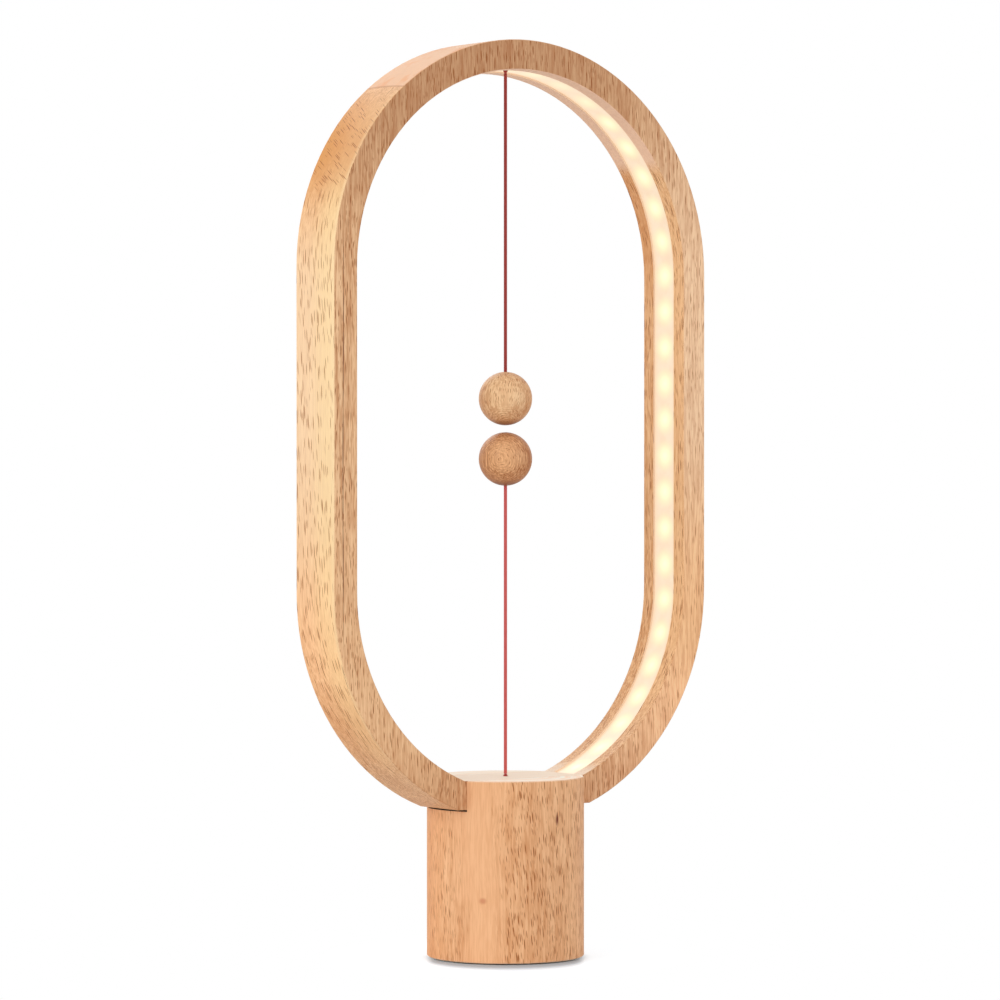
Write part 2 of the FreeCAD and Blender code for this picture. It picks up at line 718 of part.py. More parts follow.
def inlet_outline(body, name, outwards, walls):
    """The inlet's rounded opening, moved outwards: walls says how many sleeve walls that includes."""
    shift = walls * (size["sleeve_wall"] + size["hole_gap"])
    height = usb_centre_height()
    numbers = (
        size["inlet_width"] + 2 * shift, size["inlet_height"] + 2 * shift,
        size["inlet_corner"] + shift, height,
    )
    spans = (f"(Sizes.inlet_width + 2 * ({outwards}))", f"(Sizes.inlet_height + 2 * ({outwards}))")
    corner = f"(Sizes.inlet_corner + {outwards})"
    return rounded_rectangle(body, name, "XZ_Plane", spans, corner, USB_CENTRE, numbers)


def usb_centre_height():
    """Height of the USB socket's middle above the table."""
    stack = ("pad_thickness", "cover_thickness", "ballast_height", "standoff_height", "board_thickness")
    return sum(size[name] for name in stack) + size["usb_height"] / 2


def make_inlet_sleeve():
    """A plastic sleeve that lines the inlet hole, its outer end following the round base."""
    body = new_part("inlet_sleeve")
    outer = inlet_outline(body, "SleeveOutline", "Sizes.sleeve_wall", 1)
    pad(body, "SleeveBlock", outer, "Sizes.base_diameter", symmetric=False, backwards=True)
    pocket(body, "SleeveMouth", inlet_outline(body, "MouthOutline", "0", 0), "Sizes.base_diameter",
           symmetric=False)
    block(
        body, "SleeveStart", ("-Sizes.inlet_width", "-Sizes.inlet_width", "0"),
        (
            "2 * Sizes.inlet_width", "Sizes.inlet_width + Sizes.cavity_diameter / 2 - 1",
            "Sizes.cavity_ceiling",
        ),
        cut=True,
    )
    trim = sketch_on(body, "SleeveTrim", "XY_Plane")
    for radius, expression in (
        (size["base_diameter"] / 2 - size["sleeve_recess"], f"{BASE_RADIUS} - Sizes.sleeve_recess"),
        (size["base_diameter"] * 2, "Sizes.base_diameter * 2"),
    ):
        circle = Part.Circle(FreeCAD.Vector(), FreeCAD.Vector(0, 0, 1), radius)
        item = trim.addGeometry(circle)
        trim.addConstraint(Sketcher.Constraint("Coincident", item, 3, -1, 1))
        index = trim.addConstraint(Sketcher.Constraint("Radius", item, radius))
        trim.setExpression(f"Constraints[{index}]", expression)
    pocket(body, "SleeveEnd", trim, "2 * Sizes.cavity_ceiling")
    return body


def make_cord_guide():
    """The tube that leads the lower cord through the loop's foot and the base's web."""
    body = new_part("cord_guide")
    length = f"{GUIDE_TOP} - Sizes.cavity_ceiling"
    rod(body, "GuideTube", "Sizes.guide_diameter / 2", length, ("0", "0", "Sizes.cavity_ceiling"))
    rod(body, "GuideHole", "Sizes.guide_bore / 2", length, ("0", "0", "Sizes.cavity_ceiling"), cut=True)
    return body


def make_loop_screws():
    """Two wood screws that hold the loop down in its slot, driven from the cavity."""
    body = new_part("loop_screws", several=True)
    at = ("Sizes.loop_screw_side", "-Sizes.loop_screw_front", "Sizes.cavity_ceiling")
    made = countersunk_screw(body, "LoopScrew", "Sizes.loop_screw_diameter", "Sizes.loop_screw_length", at)
    around(body, "LoopScrews", made, "2")
    return body


# ---------------------------------------------------------------- underside, ballast and board


def make_bottom_cover():
    """The moulded disc that closes the cavity."""
    body = new_part("bottom_cover")
    low = ("0", "0", "Sizes.pad_thickness")
    rod(body, "CoverDisc", "Sizes.cover_diameter / 2", "Sizes.cover_thickness", low)
    at = ("Sizes.cover_screw_circle", "0", "Sizes.pad_thickness")
    hole = rod(
        body, "CoverHole", "Sizes.cover_screw_diameter / 2 + Sizes.hole_gap", "Sizes.cover_thickness", at,
        cut=True,
    )
    sink = cone(
        body, "CoverSink",
        ("Sizes.cover_screw_diameter * 0.95 + 2 * Sizes.hole_gap", "Sizes.cover_screw_diameter / 2"),
        "Sizes.cover_screw_diameter / 2 + 2 * Sizes.hole_gap", at, cut=True,
    )
    around(body, "CoverHoles", [hole, sink], "Sizes.cover_screw_count")
    rod(body, "BallastHole", "Sizes.ballast_screw_diameter / 2 + Sizes.hole_gap", "Sizes.cover_thickness",
        low, cut=True)
    cone(
        body, "BallastSink",
        ("Sizes.ballast_screw_diameter * 0.95 + 2 * Sizes.hole_gap", "Sizes.ballast_screw_diameter / 2"),
        "Sizes.ballast_screw_diameter / 2 + 2 * Sizes.hole_gap", low, cut=True,
    )
    return body


def make_cover_screws():
    """The small wood screws that hold the cover under the base."""
    body = new_part("cover_screws", several=True)
    at = ("Sizes.cover_screw_circle", "0", "Sizes.pad_thickness")
    made = countersunk_screw(
        body, "CoverScrew", "Sizes.cover_screw_diameter", "Sizes.cover_screw_length", at
    )
    around(body, "CoverScrews", made, "Sizes.cover_screw_count")
    return body


def make_foot_pad():
    """A rubber ring glued under the cover: the lamp stands on it."""
    body = new_part("foot_pad")
    rod(body, "PadDisc", "Sizes.pad_diameter / 2", "Sizes.pad_thickness")
    rod(body, "PadOpening", "Sizes.pad_opening / 2", "Sizes.pad_thickness", cut=True)
    return body


def make_ballast():
    """The steel disc that keeps the lamp upright, tapped for its screw and the board's standoffs."""
    body = new_part("ballast_disc")
    rod(body, "BallastDisc", "Sizes.ballast_diameter / 2", "Sizes.ballast_height", ("0", "0", LEDGE))
    rod(
        body, "BallastTap", "Sizes.ballast_screw_diameter / 2 + Sizes.hole_gap / 2",
        "Sizes.ballast_height", ("0", "0", LEDGE), cut=True,
    )
    tap = rod(
        body, "StandoffTap", "Sizes.stud_diameter / 2 + Sizes.hole_gap / 2",
        "Sizes.stud_length + Sizes.hole_gap",
        (
            "0", "-Sizes.board_screw_circle",
            f"{BALLAST_TOP} - Sizes.stud_length - Sizes.hole_gap",
        ),
        cut=True,
    )
    around(body, "StandoffTaps", [tap], "3")
    return body


def make_ballast_screw():
    """The screw that holds the ballast on the cover."""
    body = new_part("ballast_screw")
    at = ("0", "0", "Sizes.pad_thickness")
    countersunk_screw(body, "BallastScrew", "Sizes.ballast_screw_diameter", "Sizes.ballast_screw_length", at)
    return body


def make_standoffs():
    """Three hexagon standoffs between ballast and board."""
    body = new_part("board_standoffs", several=True)
    prism = body.newObject("PartDesign::AdditivePrism", "StandoffHexagon")
    prism.Polygon = 6
    bound(prism, Circumradius="Sizes.standoff_width / sqrt(3)", Height="Sizes.standoff_height")
    put(prism, ("0", "-Sizes.board_screw_circle", BALLAST_TOP))
    stud = rod(
        body, "StandoffStud", "Sizes.stud_diameter / 2", "Sizes.stud_length",
        ("0", "-Sizes.board_screw_circle", f"{BALLAST_TOP} - Sizes.stud_length"),
    )
    bore = rod(
        body, "StandoffBore", "Sizes.board_screw_diameter / 2 + Sizes.hole_gap / 2",
        "Sizes.standoff_height",
        ("0", "-Sizes.board_screw_circle", BALLAST_TOP), cut=True,
    )
    around(body, "Standoffs", [prism, stud, bore], "3")
    return body


def make_board():
    """The round control board, cut straight at the rear where the USB socket sits."""
    body = new_part("control_board")
    rod(body, "BoardDisc", "Sizes.board_diameter / 2", "Sizes.board_thickness", ("0", "0", BOARD_BOTTOM))
    block(
        body, "BoardRear", ("-Sizes.board_diameter", "Sizes.board_rear", BOARD_BOTTOM),
        ("2 * Sizes.board_diameter", "Sizes.board_diameter", "Sizes.board_thickness"), cut=True,
    )
    hole = rod(
        body, "BoardHole", "Sizes.board_screw_diameter / 2 + Sizes.hole_gap", "Sizes.board_thickness",
        ("0", "-Sizes.board_screw_circle", BOARD_BOTTOM), cut=True,
    )
    around(body, "BoardHoles", [hole], "3")
    return body


def make_board_screws():
    """Three pan-head screws that hold the board on its standoffs."""
    body = new_part("board_screws", several=True)
    shank = rod(
        body, "BoardScrewShank", "Sizes.board_screw_diameter / 2", "Sizes.board_screw_length",
        ("0", "-Sizes.board_screw_circle", f"{BOARD_TOP} - Sizes.board_screw_length"),
    )
    head = rod(
        body, "BoardScrewHead", "Sizes.board_screw_diameter", "Sizes.board_screw_diameter * 0.6",
        ("0", "-Sizes.board_screw_circle", BOARD_TOP),
    )
    face = ("0", "-Sizes.board_screw_circle", f"{BOARD_TOP} + Sizes.board_screw_diameter * 0.6")
    recess = cross_recess(
        body, "BoardScrewRecess", "Sizes.board_screw_diameter", "Sizes.board_screw_diameter / 3", face,
        below=False,
    )
    around(body, "BoardScrews", [shank, head] + recess, "3")
    return body


def make_usb_shell():
    """The USB socket's folded metal shell, its mouth to the rear."""
    body = new_part("usb_shell")
    height = usb_centre_height()
    spans = ("Sizes.usb_width", "Sizes.usb_height")
    numbers = (size["usb_width"], size["usb_height"], size["usb_corner"], height)
    outer = rounded_rectangle(body, "ShellOutline", "XZ_Plane", spans, "Sizes.usb_corner", USB_CENTRE,
                              numbers)
    rear = "(Sizes.board_rear + Sizes.usb_overhang)"
    pad(body, "ShellBlock", outer, rear, symmetric=False, backwards=True)
    inner_spans = ("(Sizes.usb_width - 2 * Sizes.usb_wall)", "(Sizes.usb_height - 2 * Sizes.usb_wall)")
    wall = size["usb_wall"]
    inner_numbers = (
        size["usb_width"] - 2 * wall, size["usb_height"] - 2 * wall, size["usb_corner"] - wall, height
    )
    inner = rounded_rectangle(
        body, "ShellInside", "XZ_Plane", inner_spans, "(Sizes.usb_corner - Sizes.usb_wall)", USB_CENTRE,
        inner_numbers,
    )
    pocket(body, "ShellMouth", inner, rear, symmetric=False)
    block(
        body, "ShellFront", ("-Sizes.usb_width", "-Sizes.usb_width", BOARD_BOTTOM),
        ("2 * Sizes.usb_width", f"Sizes.usb_width + {rear} - Sizes.usb_depth", "2 * Sizes.usb_width"),
        cut=True,
    )
    return body


def make_usb_tongue():
    """The socket's contact block and tongue, inside the shell."""
    body = new_part("usb_tongue")
    front = "(Sizes.board_rear + Sizes.usb_overhang - Sizes.usb_depth)"
    inside = "(Sizes.usb_height - 2 * Sizes.usb_wall - 2 * Sizes.hole_gap)"
    breadth = "(Sizes.usb_width - 2 * Sizes.usb_corner - 2 * Sizes.hole_gap)"
    block(
        body, "ContactBlock", (f"-{breadth} / 2", front, f"{USB_CENTRE} - {inside} / 2"),
        (breadth, "(Sizes.usb_depth - Sizes.tongue_length) / 2", inside),
    )
    block(
        body, "Tongue", ("-Sizes.tongue_width / 2", front, f"{USB_CENTRE} - Sizes.tongue_thickness / 2"),
        (
            "Sizes.tongue_width", "Sizes.tongue_length + (Sizes.usb_depth - Sizes.tongue_length) / 2",
            "Sizes.tongue_thickness",
        ),
    )
    return body


def make_board_parts():
    """Driver chip, inductor and capacitor on the board."""
    chip = new_part("driver_chip")
    block(
        chip, "ChipBody", ("-Sizes.chip_length / 2", "Sizes.chip_back - Sizes.chip_width / 2", BOARD_TOP),
        ("Sizes.chip_length", "Sizes.chip_width", "Sizes.chip_height"),
    )
    inductor = new_part("inductor")
    rod(
        inductor, "InductorCore", "Sizes.inductor_diameter / 2", "Sizes.inductor_height",
        ("-Sizes.side_part_offset", "Sizes.side_part_back", BOARD_TOP),
    )
    capacitor = new_part("capacitor")
    rod(
        capacitor, "CapacitorCan", "Sizes.capacitor_diameter / 2", "Sizes.capacitor_height",
        ("Sizes.side_part_offset", "Sizes.side_part_back", BOARD_TOP),
    )


def make_headers_and_plugs():
    """Two open-topped wire headers on the board, and the plugs that sit in them."""
    headers = new_part("wire_headers", several=True)
    corner = (
        "-Sizes.header_offset - Sizes.header_length / 2",
        "-Sizes.header_front - Sizes.header_width / 2",
    )
    shell = block(
        headers, "HeaderBlock", corner + (BOARD_TOP,),
        ("Sizes.header_length", "Sizes.header_width", "Sizes.header_height"),
    )
    well = block(
        headers, "HeaderWell",
        (
            corner[0] + " + Sizes.header_wall", corner[1] + " + Sizes.header_wall",
            f"{BOARD_TOP} + Sizes.header_floor",
        ),
        (
            "Sizes.header_length - 2 * Sizes.header_wall", "Sizes.header_width - 2 * Sizes.header_wall",
            "Sizes.header_height",
        ),
        cut=True,
    )
    in_a_row(headers, "Headers", [shell, well], "2 * Sizes.header_offset")
    plugs = new_part("wire_plugs", several=True)
    plug = block(
        plugs, "PlugBlock",
        (
            corner[0] + " + Sizes.header_wall + Sizes.hole_gap",
            corner[1] + " + Sizes.header_wall + Sizes.hole_gap",
            f"{BOARD_TOP} + Sizes.header_floor",
        ),
        (
            "Sizes.header_length - 2 * (Sizes.header_wall + Sizes.hole_gap)",
            "Sizes.header_width - 2 * (Sizes.header_wall + Sizes.hole_gap)", "Sizes.plug_height",
        ),
    )
    in_a_row(plugs, "Plugs", [plug], "2 * Sizes.header_offset")


def plug_top_height():
    """Height of the plugs' upper face above the table."""
    return usb_centre_height() - size["usb_height"] / 2 + size["header_floor"] + size["plug_height"]


def make_led_leads():
    """Two wires from the tape's left end, down the slanted bore and the web, to their plug."""
    floor_radius = size["loop_width"] / 2 - size["side_wall"] + size["groove_depth"]
    radius = size["wire_diameter"] / 2
    flat = size["slot_floor"] + size["seat_gap"]
    slope = math.tan(math.radians(size["lead_tilt"]))
    solder_x = tape_end() + 5 * radius
    tape_radius = floor_radius - size["tape_seat"] - size["tape_thickness"]
    solder_z = inner_lower_centre() - math.sqrt(tape_radius**2 - solder_x**2) + radius + 2 * size["tape_seat"]
    turn_x = tape_end() - 3 * radius
    turn_z = flat + (turn_x - size["lead_side"]) * slope
    wires = []
    for side in (-1, 1):
        y = side * size["wire_pitch"] / 2
        points = [
            (-solder_x, y, solder_z),
            (-turn_x, y, turn_z),
            (-size["lead_side"], y, flat),
            (-size["lead_side"], y, size["switch_bottom"]),
            (-size["header_offset"], y - size["header_front"], plug_top_height() + 8 * radius),
            (-size["header_offset"], y - size["header_front"], plug_top_height()),
        ]
        wires.append(tube_along(points, radius, 2 * radius))
    return fixed_shape("led_leads", Part.Compound(wires))


# ---------------------------------------------------------------- pull switch


def make_switch_case():
    """The microswitch, hung with its plunger down, with two lugs for the lever's pin."""
    body = new_part("switch_case")
    half = "Sizes.switch_thickness / 2"
    block(
        body, "CaseBlock", ("Sizes.switch_cord_gap", f"-{half}", "Sizes.switch_bottom"),
        ("Sizes.switch_length", "Sizes.switch_thickness", "Sizes.switch_height"),
    )
    lug_bottom = "(Sizes.lever_height - Sizes.eye_diameter / 2)"
    for name, low in (("FrontLug", f"-{half}"), ("RearLug", f"{half} - Sizes.lug_thickness")):
        block(
            body, name, ("Sizes.lever_arm - Sizes.lug_length / 2", low, lug_bottom),
            ("Sizes.lug_length", "Sizes.lug_thickness", f"Sizes.switch_bottom - {lug_bottom}"),
        )
    rod(
        body, "PinHole", "Sizes.pin_diameter / 2 + Sizes.pin_gap", "Sizes.switch_thickness",
        ("Sizes.lever_arm", f"-{half}", "Sizes.lever_height"), axis="Y", cut=True,
    )
    gap = "2 * Sizes.hole_gap"
    block(
        body, "PlungerWell",
        (
            f"Sizes.lever_arm - Sizes.plunger_arm - Sizes.plunger_length / 2 - {gap} / 2",
            f"-Sizes.plunger_width / 2 - {gap} / 2", "Sizes.switch_bottom",
        ),
        (
            f"Sizes.plunger_length + {gap}", f"Sizes.plunger_width + {gap}",
            f"Sizes.plunger_inside + {gap}",
        ),
        cut=True,
    )
    hole = rod(
        body, "CaseScrewHole", "Sizes.switch_screw_diameter / 2 + Sizes.hole_gap",
        "Sizes.switch_thickness",
        (f"{SWITCH_CENTRE} - Sizes.switch_screw_spacing / 2", f"-{half}", SWITCH_SCREW_Z),
        axis="Y", cut=True,
    )
    in_a_row(body, "CaseScrewHoles", [hole], "Sizes.switch_screw_spacing")
    return body


def make_switch_terminals():
    """Three flat terminals on top of the microswitch."""
    body = new_part("switch_terminals", several=True)
    first = block(
        body, "TerminalBlade",
        (
            f"{SWITCH_CENTRE} - Sizes.terminal_spacing - Sizes.terminal_width / 2",
            "-Sizes.terminal_thickness / 2", SWITCH_TOP,
        ),
        ("Sizes.terminal_width", "Sizes.terminal_thickness", "Sizes.terminal_height"),
    )
    in_a_row(body, "Terminals", [first], "2 * Sizes.terminal_spacing", count=3)
    return body


def make_plunger():
    """The microswitch's plunger, pressed in by the lever while the lamp is on."""
    body = new_part("switch_plunger")
    bottom = f"({LEVER_TOP} + Sizes.plunger_gap)"
    block(
        body, "PlungerBar",
        (
            "Sizes.lever_arm - Sizes.plunger_arm - Sizes.plunger_length / 2",
            "-Sizes.plunger_width / 2", bottom,
        ),
        (
            "Sizes.plunger_length", "Sizes.plunger_width",
            f"Sizes.switch_bottom + Sizes.plunger_inside - {bottom}",
        ),
    )
    return body


def make_lever():
    """The switch lever: a steel strip with a rolled eye at its pin and a fork round the cord."""
    body = new_part("switch_lever")
    start = "-Sizes.lever_overhang"
    half = "Sizes.lever_width / 2"
    block(
        body, "LeverStrip", (start, f"-{half}", LEVER_BOTTOM),
        ("Sizes.lever_arm + Sizes.lever_overhang", "Sizes.lever_width", "Sizes.lever_thickness"),
    )
    rod(
        body, "LeverEye", "Sizes.eye_diameter / 2", "Sizes.lever_width",
        ("Sizes.lever_arm", f"-{half}", "Sizes.lever_height"), axis="Y",
    )
    rod(
        body, "LeverPinHole", "Sizes.pin_diameter / 2 + Sizes.pin_gap", "Sizes.lever_width",
        ("Sizes.lever_arm", f"-{half}", "Sizes.lever_height"), axis="Y", cut=True,
    )
    block(
        body, "LeverFork", (start, "-Sizes.fork_width / 2", LEVER_BOTTOM),
        ("Sizes.lever_overhang + Sizes.fork_end", "Sizes.fork_width", "Sizes.lever_thickness"),
        cut=True,
    )
    return body


def make_lever_pin():
    """The pin that the lever turns on, in the case's lugs."""
    body = new_part("lever_pin")
    rod(
        body, "LeverPin", "Sizes.pin_diameter / 2", "Sizes.switch_thickness",
        ("Sizes.lever_arm", "-Sizes.switch_thickness / 2", "Sizes.lever_height"), axis="Y",
    )
    return body


def make_bracket():
    """The steel angle that hangs the microswitch under the cavity's ceiling."""
    body = new_part("switch_bracket")
    start = f"({SWITCH_CENTRE} - Sizes.bracket_length / 2)"
    foot = f"({SWITCH_SCREW_Z} - Sizes.bracket_flange / 2)"
    block(
        body, "BracketPlate", (start, BRACKET_FRONT, foot),
        ("Sizes.bracket_length", "Sizes.bracket_thickness", f"Sizes.cavity_ceiling - {foot}"),
    )
    block(
        body, "BracketFlange",
        (start, BRACKET_FRONT, "Sizes.cavity_ceiling - Sizes.bracket_thickness"),
        ("Sizes.bracket_length", "Sizes.bracket_flange", "Sizes.bracket_thickness"),
    )
    plate_hole = rod(
        body, "PlateHole", "Sizes.switch_screw_diameter / 2 + Sizes.hole_gap", "Sizes.bracket_thickness",
        (f"{SWITCH_CENTRE} - Sizes.switch_screw_spacing / 2", BRACKET_FRONT, SWITCH_SCREW_Z),
        axis="Y", cut=True,
    )
    in_a_row(body, "PlateHoles", [plate_hole], "Sizes.switch_screw_spacing")
    flange_hole = rod(
        body, "FlangeHole", "Sizes.bracket_screw_diameter / 2 + Sizes.hole_gap",
        "Sizes.bracket_thickness",
        (
            f"{SWITCH_CENTRE} - Sizes.bracket_screw_spacing / 2",
            f"{BRACKET_FRONT} + Sizes.bracket_flange / 2 + Sizes.bracket_thickness / 2",
            "Sizes.cavity_ceiling - Sizes.bracket_thickness",
        ),
        cut=True,
    )
    in_a_row(body, "FlangeHoles", [flange_hole], "Sizes.bracket_screw_spacing")
    return body


def make_bracket_screws():
    """Two pan-head wood screws through the bracket's flange."""
    body = new_part("bracket_screws", several=True)
    x = f"{SWITCH_CENTRE} - Sizes.bracket_screw_spacing / 2"
    y = f"{BRACKET_FRONT} + Sizes.bracket_flange / 2 + Sizes.bracket_thickness / 2"
    seat = "(Sizes.cavity_ceiling - Sizes.bracket_thickness)"
    head_height = "Sizes.bracket_screw_diameter / 2"
    shank = rod(body, "BracketScrewShank", "Sizes.bracket_screw_diameter / 2",
                "Sizes.bracket_screw_length", (x, y, seat))
    head = rod(body, "BracketScrewHead", "Sizes.bracket_screw_diameter * 0.9", head_height,
               (x, y, f"{seat} - {head_height}"))
    recess = cross_recess(
        body, "BracketScrewRecess", "Sizes.bracket_screw_diameter", "Sizes.bracket_screw_diameter / 4",
        (x, y, f"{seat} - {head_height}"),
    )
    in_a_row(body, "BracketScrews", [shank, head] + recess, "Sizes.bracket_screw_spacing")
    return body


def make_switch_screws():
    """Two small screws through case and bracket, and their nuts."""
    x = f"{SWITCH_CENTRE} - Sizes.switch_screw_spacing / 2"
    face = "Sizes.switch_thickness / 2"
    thread = "Sizes.switch_screw_diameter"
    screws = new_part("switch_screws", several=True)
    shank = rod(screws, "SwitchScrewShank", f"{thread} / 2", "Sizes.switch_screw_length")
    cap = rod(screws, "SwitchScrewHead", f"{thread} * 0.95", f"{thread} * 0.65",
              ("0", "0", f"-{thread} * 0.65"))
    recess = cross_recess(
        screws, "SwitchScrewRecess", thread, f"{thread} / 4", ("0", "0", f"-{thread} * 0.65")
    )
    in_a_row(screws, "SwitchScrews", [shank, cap] + recess, "Sizes.switch_screw_spacing")
    put(screws, (x, f"-{face}", SWITCH_SCREW_Z), "Y")
    nuts = new_part("switch_nuts", several=True)
    prism = nuts.newObject("PartDesign::AdditivePrism", "NutHexagon")
    prism.Polygon = 6
    bound(prism, Circumradius=f"{thread} * 1.15", Height=f"{thread} * 0.8")
    hole = rod(nuts, "NutHole", f"{thread} / 2 + Sizes.pin_gap", thread, cut=True)
    in_a_row(nuts, "Nuts", [prism, hole], "Sizes.switch_screw_spacing")
    put(nuts, (x, f"{face} + Sizes.bracket_thickness", SWITCH_SCREW_Z), "Y")


def make_switch_leads():
    """Two wires from the outer terminals, round the front of the switch, down to their plug."""
    radius = size["wire_diameter"] / 2
    centre = size["switch_cord_gap"] + size["switch_length"] / 2
    top = size["switch_bottom"] + size["switch_height"] + size["terminal_height"] - 2 * radius
    touch = size["terminal_thickness"] / 2 + size["pin_gap"]
    front = size["switch_thickness"] / 2 + size["switch_screw_diameter"] + radius
    wires = []
    for side in (-1, 1):
        x = centre + side * size["terminal_spacing"]
        plug_x = size["header_offset"] + side * size["wire_pitch"] / 2
        points = [
            (x, -touch, top),
            (x, -front, top),
            (x, -front, size["switch_bottom"]),
            (plug_x, -size["header_front"], plug_top_height() + 8 * radius),
            (plug_x, -size["header_front"], plug_top_height()),
        ]
        wires.append(tube_along(points, radius, 2 * radius))
    return fixed_shape("switch_leads", Part.Compound(wires))


# ---------------------------------------------------------------- cords and balls


def make_cord(name, low, high):
    """A straight stretch of cord on the lamp's axis, between two heights."""
    body = new_part(name)
    rod(body, name + "Line", "Sizes.cord_diameter / 2", f"{high} - ({low})", ("0", "0", low))
    return body


def make_bend(name, height):
    """The short round stretch of a cord where it bends at its exit."""
    body = new_part(name)
    ball(body, name + "Round", "Sizes.bend_diameter / 2")
    return put(body, ("0", "0", height))


def make_bead():
    """The bead crimped on the lower cord's end, under the lever's fork."""
    body = new_part("cord_bead")
    low = ("0", "0", f"{BEAD_TOP} - Sizes.bead_height")
    rod(body, "BeadBody", "Sizes.bead_diameter / 2", "Sizes.bead_height", low)
    rod(body, "BeadHole", "Sizes.cord_diameter / 2 + Sizes.pin_gap", "Sizes.bead_height", low, cut=True)
    return body


def make_ball(prefix, height, axis):
    """A wooden ball with its magnet, plug and knot. Its cord side points along axis."""
    radius = "Sizes.ball_diameter / 2"
    at = ("0", "0", height)
    wood = new_part(prefix + "_ball")
    ball(wood, prefix + "Turning", radius)
    rod(wood, prefix + "Pocket", POCKET_RADIUS, "Sizes.ball_diameter", ("0", "0", f"-{MAGNET_END}"),
        cut=True)
    put(wood, at, axis)
    magnet = new_part(prefix + "_magnet")
    rod(magnet, prefix + "MagnetDisc", "Sizes.magnet_diameter / 2", "Sizes.magnet_height",
        ("0", "0", f"-{MAGNET_END}"))
    put(magnet, at, axis)
    knot = new_part(prefix + "_knot")
    ball(knot, prefix + "KnotRound", "Sizes.knot_diameter / 2",
         ("0", "0", f"{KNOT_TOP} - Sizes.knot_diameter / 2"))
    put(knot, at, axis)
    make_ball_plug(prefix, at, axis)


def make_ball_plug(prefix, at, axis):
    """The round-ended wooden plug that closes a ball's pocket and lets the cord through."""
    sphere = bound(doc.addObject("Part::Sphere", prefix + "PlugSphere"), Radius="Sizes.ball_diameter / 2")
    shank = doc.addObject("Part::Cylinder", prefix + "PlugShank")
    bound(shank, Radius=f"{POCKET_RADIUS} - Sizes.pin_gap", Height="Sizes.ball_diameter")
    put(shank, ("0", "0", "Sizes.plug_seat"))
    rounded = doc.addObject("Part::Common", prefix + "PlugRound")
    rounded.Base = sphere
    rounded.Tool = shank
    bore = doc.addObject("Part::Cylinder", prefix + "PlugBore")
    bound(bore, Radius="Sizes.ball_bore / 2", Height="Sizes.ball_diameter")
    plug = doc.addObject("Part::Cut", prefix + "_plug")
    plug.Label = prefix + "_plug"
    plug.Base = rounded
    plug.Tool = bore
    put(plug, at, axis)
    sub_parts.append(plug)


# ---------------------------------------------------------------- the whole lamp


def make_lamp():
    """Every sub-part, from the loop down to the foot pad, then the pieces that move."""
    make_loop_frame()
    block_half = f"{BLOCK_HALF} + Sizes.diffuser_end_gap"
    anchor_hole = "Sizes.anchor_diameter / 2 + Sizes.anchor_gap"
    make_ring(
        "diffuser_strip", DIFFUSER_BACK, DIFFUSER_FRONT, "Sizes.groove_width - 2 * Sizes.diffuser_gap",
        block_half, anchor_hole,
    )
    make_ring("led_tape", TAPE_BACK, TAPE_FRONT, "Sizes.tape_width", TAPE_END, anchor_hole)
    make_leds()
    make_led_leads()
    make_anchor()
    make_base_body()
    make_inlet_sleeve()
    make_cord_guide()
    make_loop_screws()
    make_bottom_cover()
    make_cover_screws()
    make_foot_pad()
    make_ballast()
    make_ballast_screw()
    make_standoffs()
    make_board()
    make_board_screws()
    make_usb_shell()
    make_usb_tongue()
    make_board_parts()
    make_headers_and_plugs()
    make_switch_case()
    make_switch_terminals()
    make_plunger()
    make_lever()
    make_lever_pin()
    make_bracket()
    make_bracket_screws()
    make_switch_screws()
    make_switch_leads()
    make_bend("upper_cord_bend", UPPER_PIVOT)
    make_cord("upper_cord", f"Sizes.upper_ball_height + {KNOT_TOP}", f"{UPPER_PIVOT} - {BEND_REACH}")
    make_ball("upper", "Sizes.upper_ball_height", "Z")
    make_bend("lower_cord_bend", "Sizes.base_top")
    make_cord("lower_cord", f"Sizes.base_top + {BEND_REACH}", f"{LOWER_BALL_HEIGHT} - {KNOT_TOP}")
    make_cord("lower_cord_inner", f"{BEAD_TOP} - Sizes.bead_height", f"Sizes.base_top - {BEND_REACH}")
    make_bead()
    make_ball("lower", LOWER_BALL_HEIGHT, "-Z")


def check_and_write():
    """Stops on any failed object or bad shape, then writes one STEP file for each sub-part."""
    doc.recompute()
    failed = [item.Name for item in doc.Objects if {"Invalid", "Error"} & set(item.State)]
    if failed:
        raise RuntimeError(f"these objects failed: {failed}")
    for item in sub_parts:
        if item.Shape.isNull() or not item.Shape.isValid() or not item.Shape.Solids:
            raise RuntimeError(f"{item.Label} has no valid solid")
    os.makedirs(OUT_FOLDER, exist_ok=True)
    for item in sub_parts:
        item.Shape.exportStep(os.path.join(OUT_FOLDER, item.Label + ".step"))
        box = item.Shape.BoundBox
        print(
            f"{item.Label:20s} solids {len(item.Shape.Solids):3d} volume {item.Shape.Volume:11.2f}"
            f"  x {box.XMin:8.2f} {box.XMax:8.2f}  y {box.YMin:7.2f} {box.YMax:7.2f}"
            f"  z {box.ZMin:7.2f} {box.ZMax:7.2f}"
        )


make_sheet()
make_lamp()
check_and_write()
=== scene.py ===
"""Looks of a beech balance lamp: wood, lit diffuser, braided cords and the works in its base."""

import math
from types import SimpleNamespace

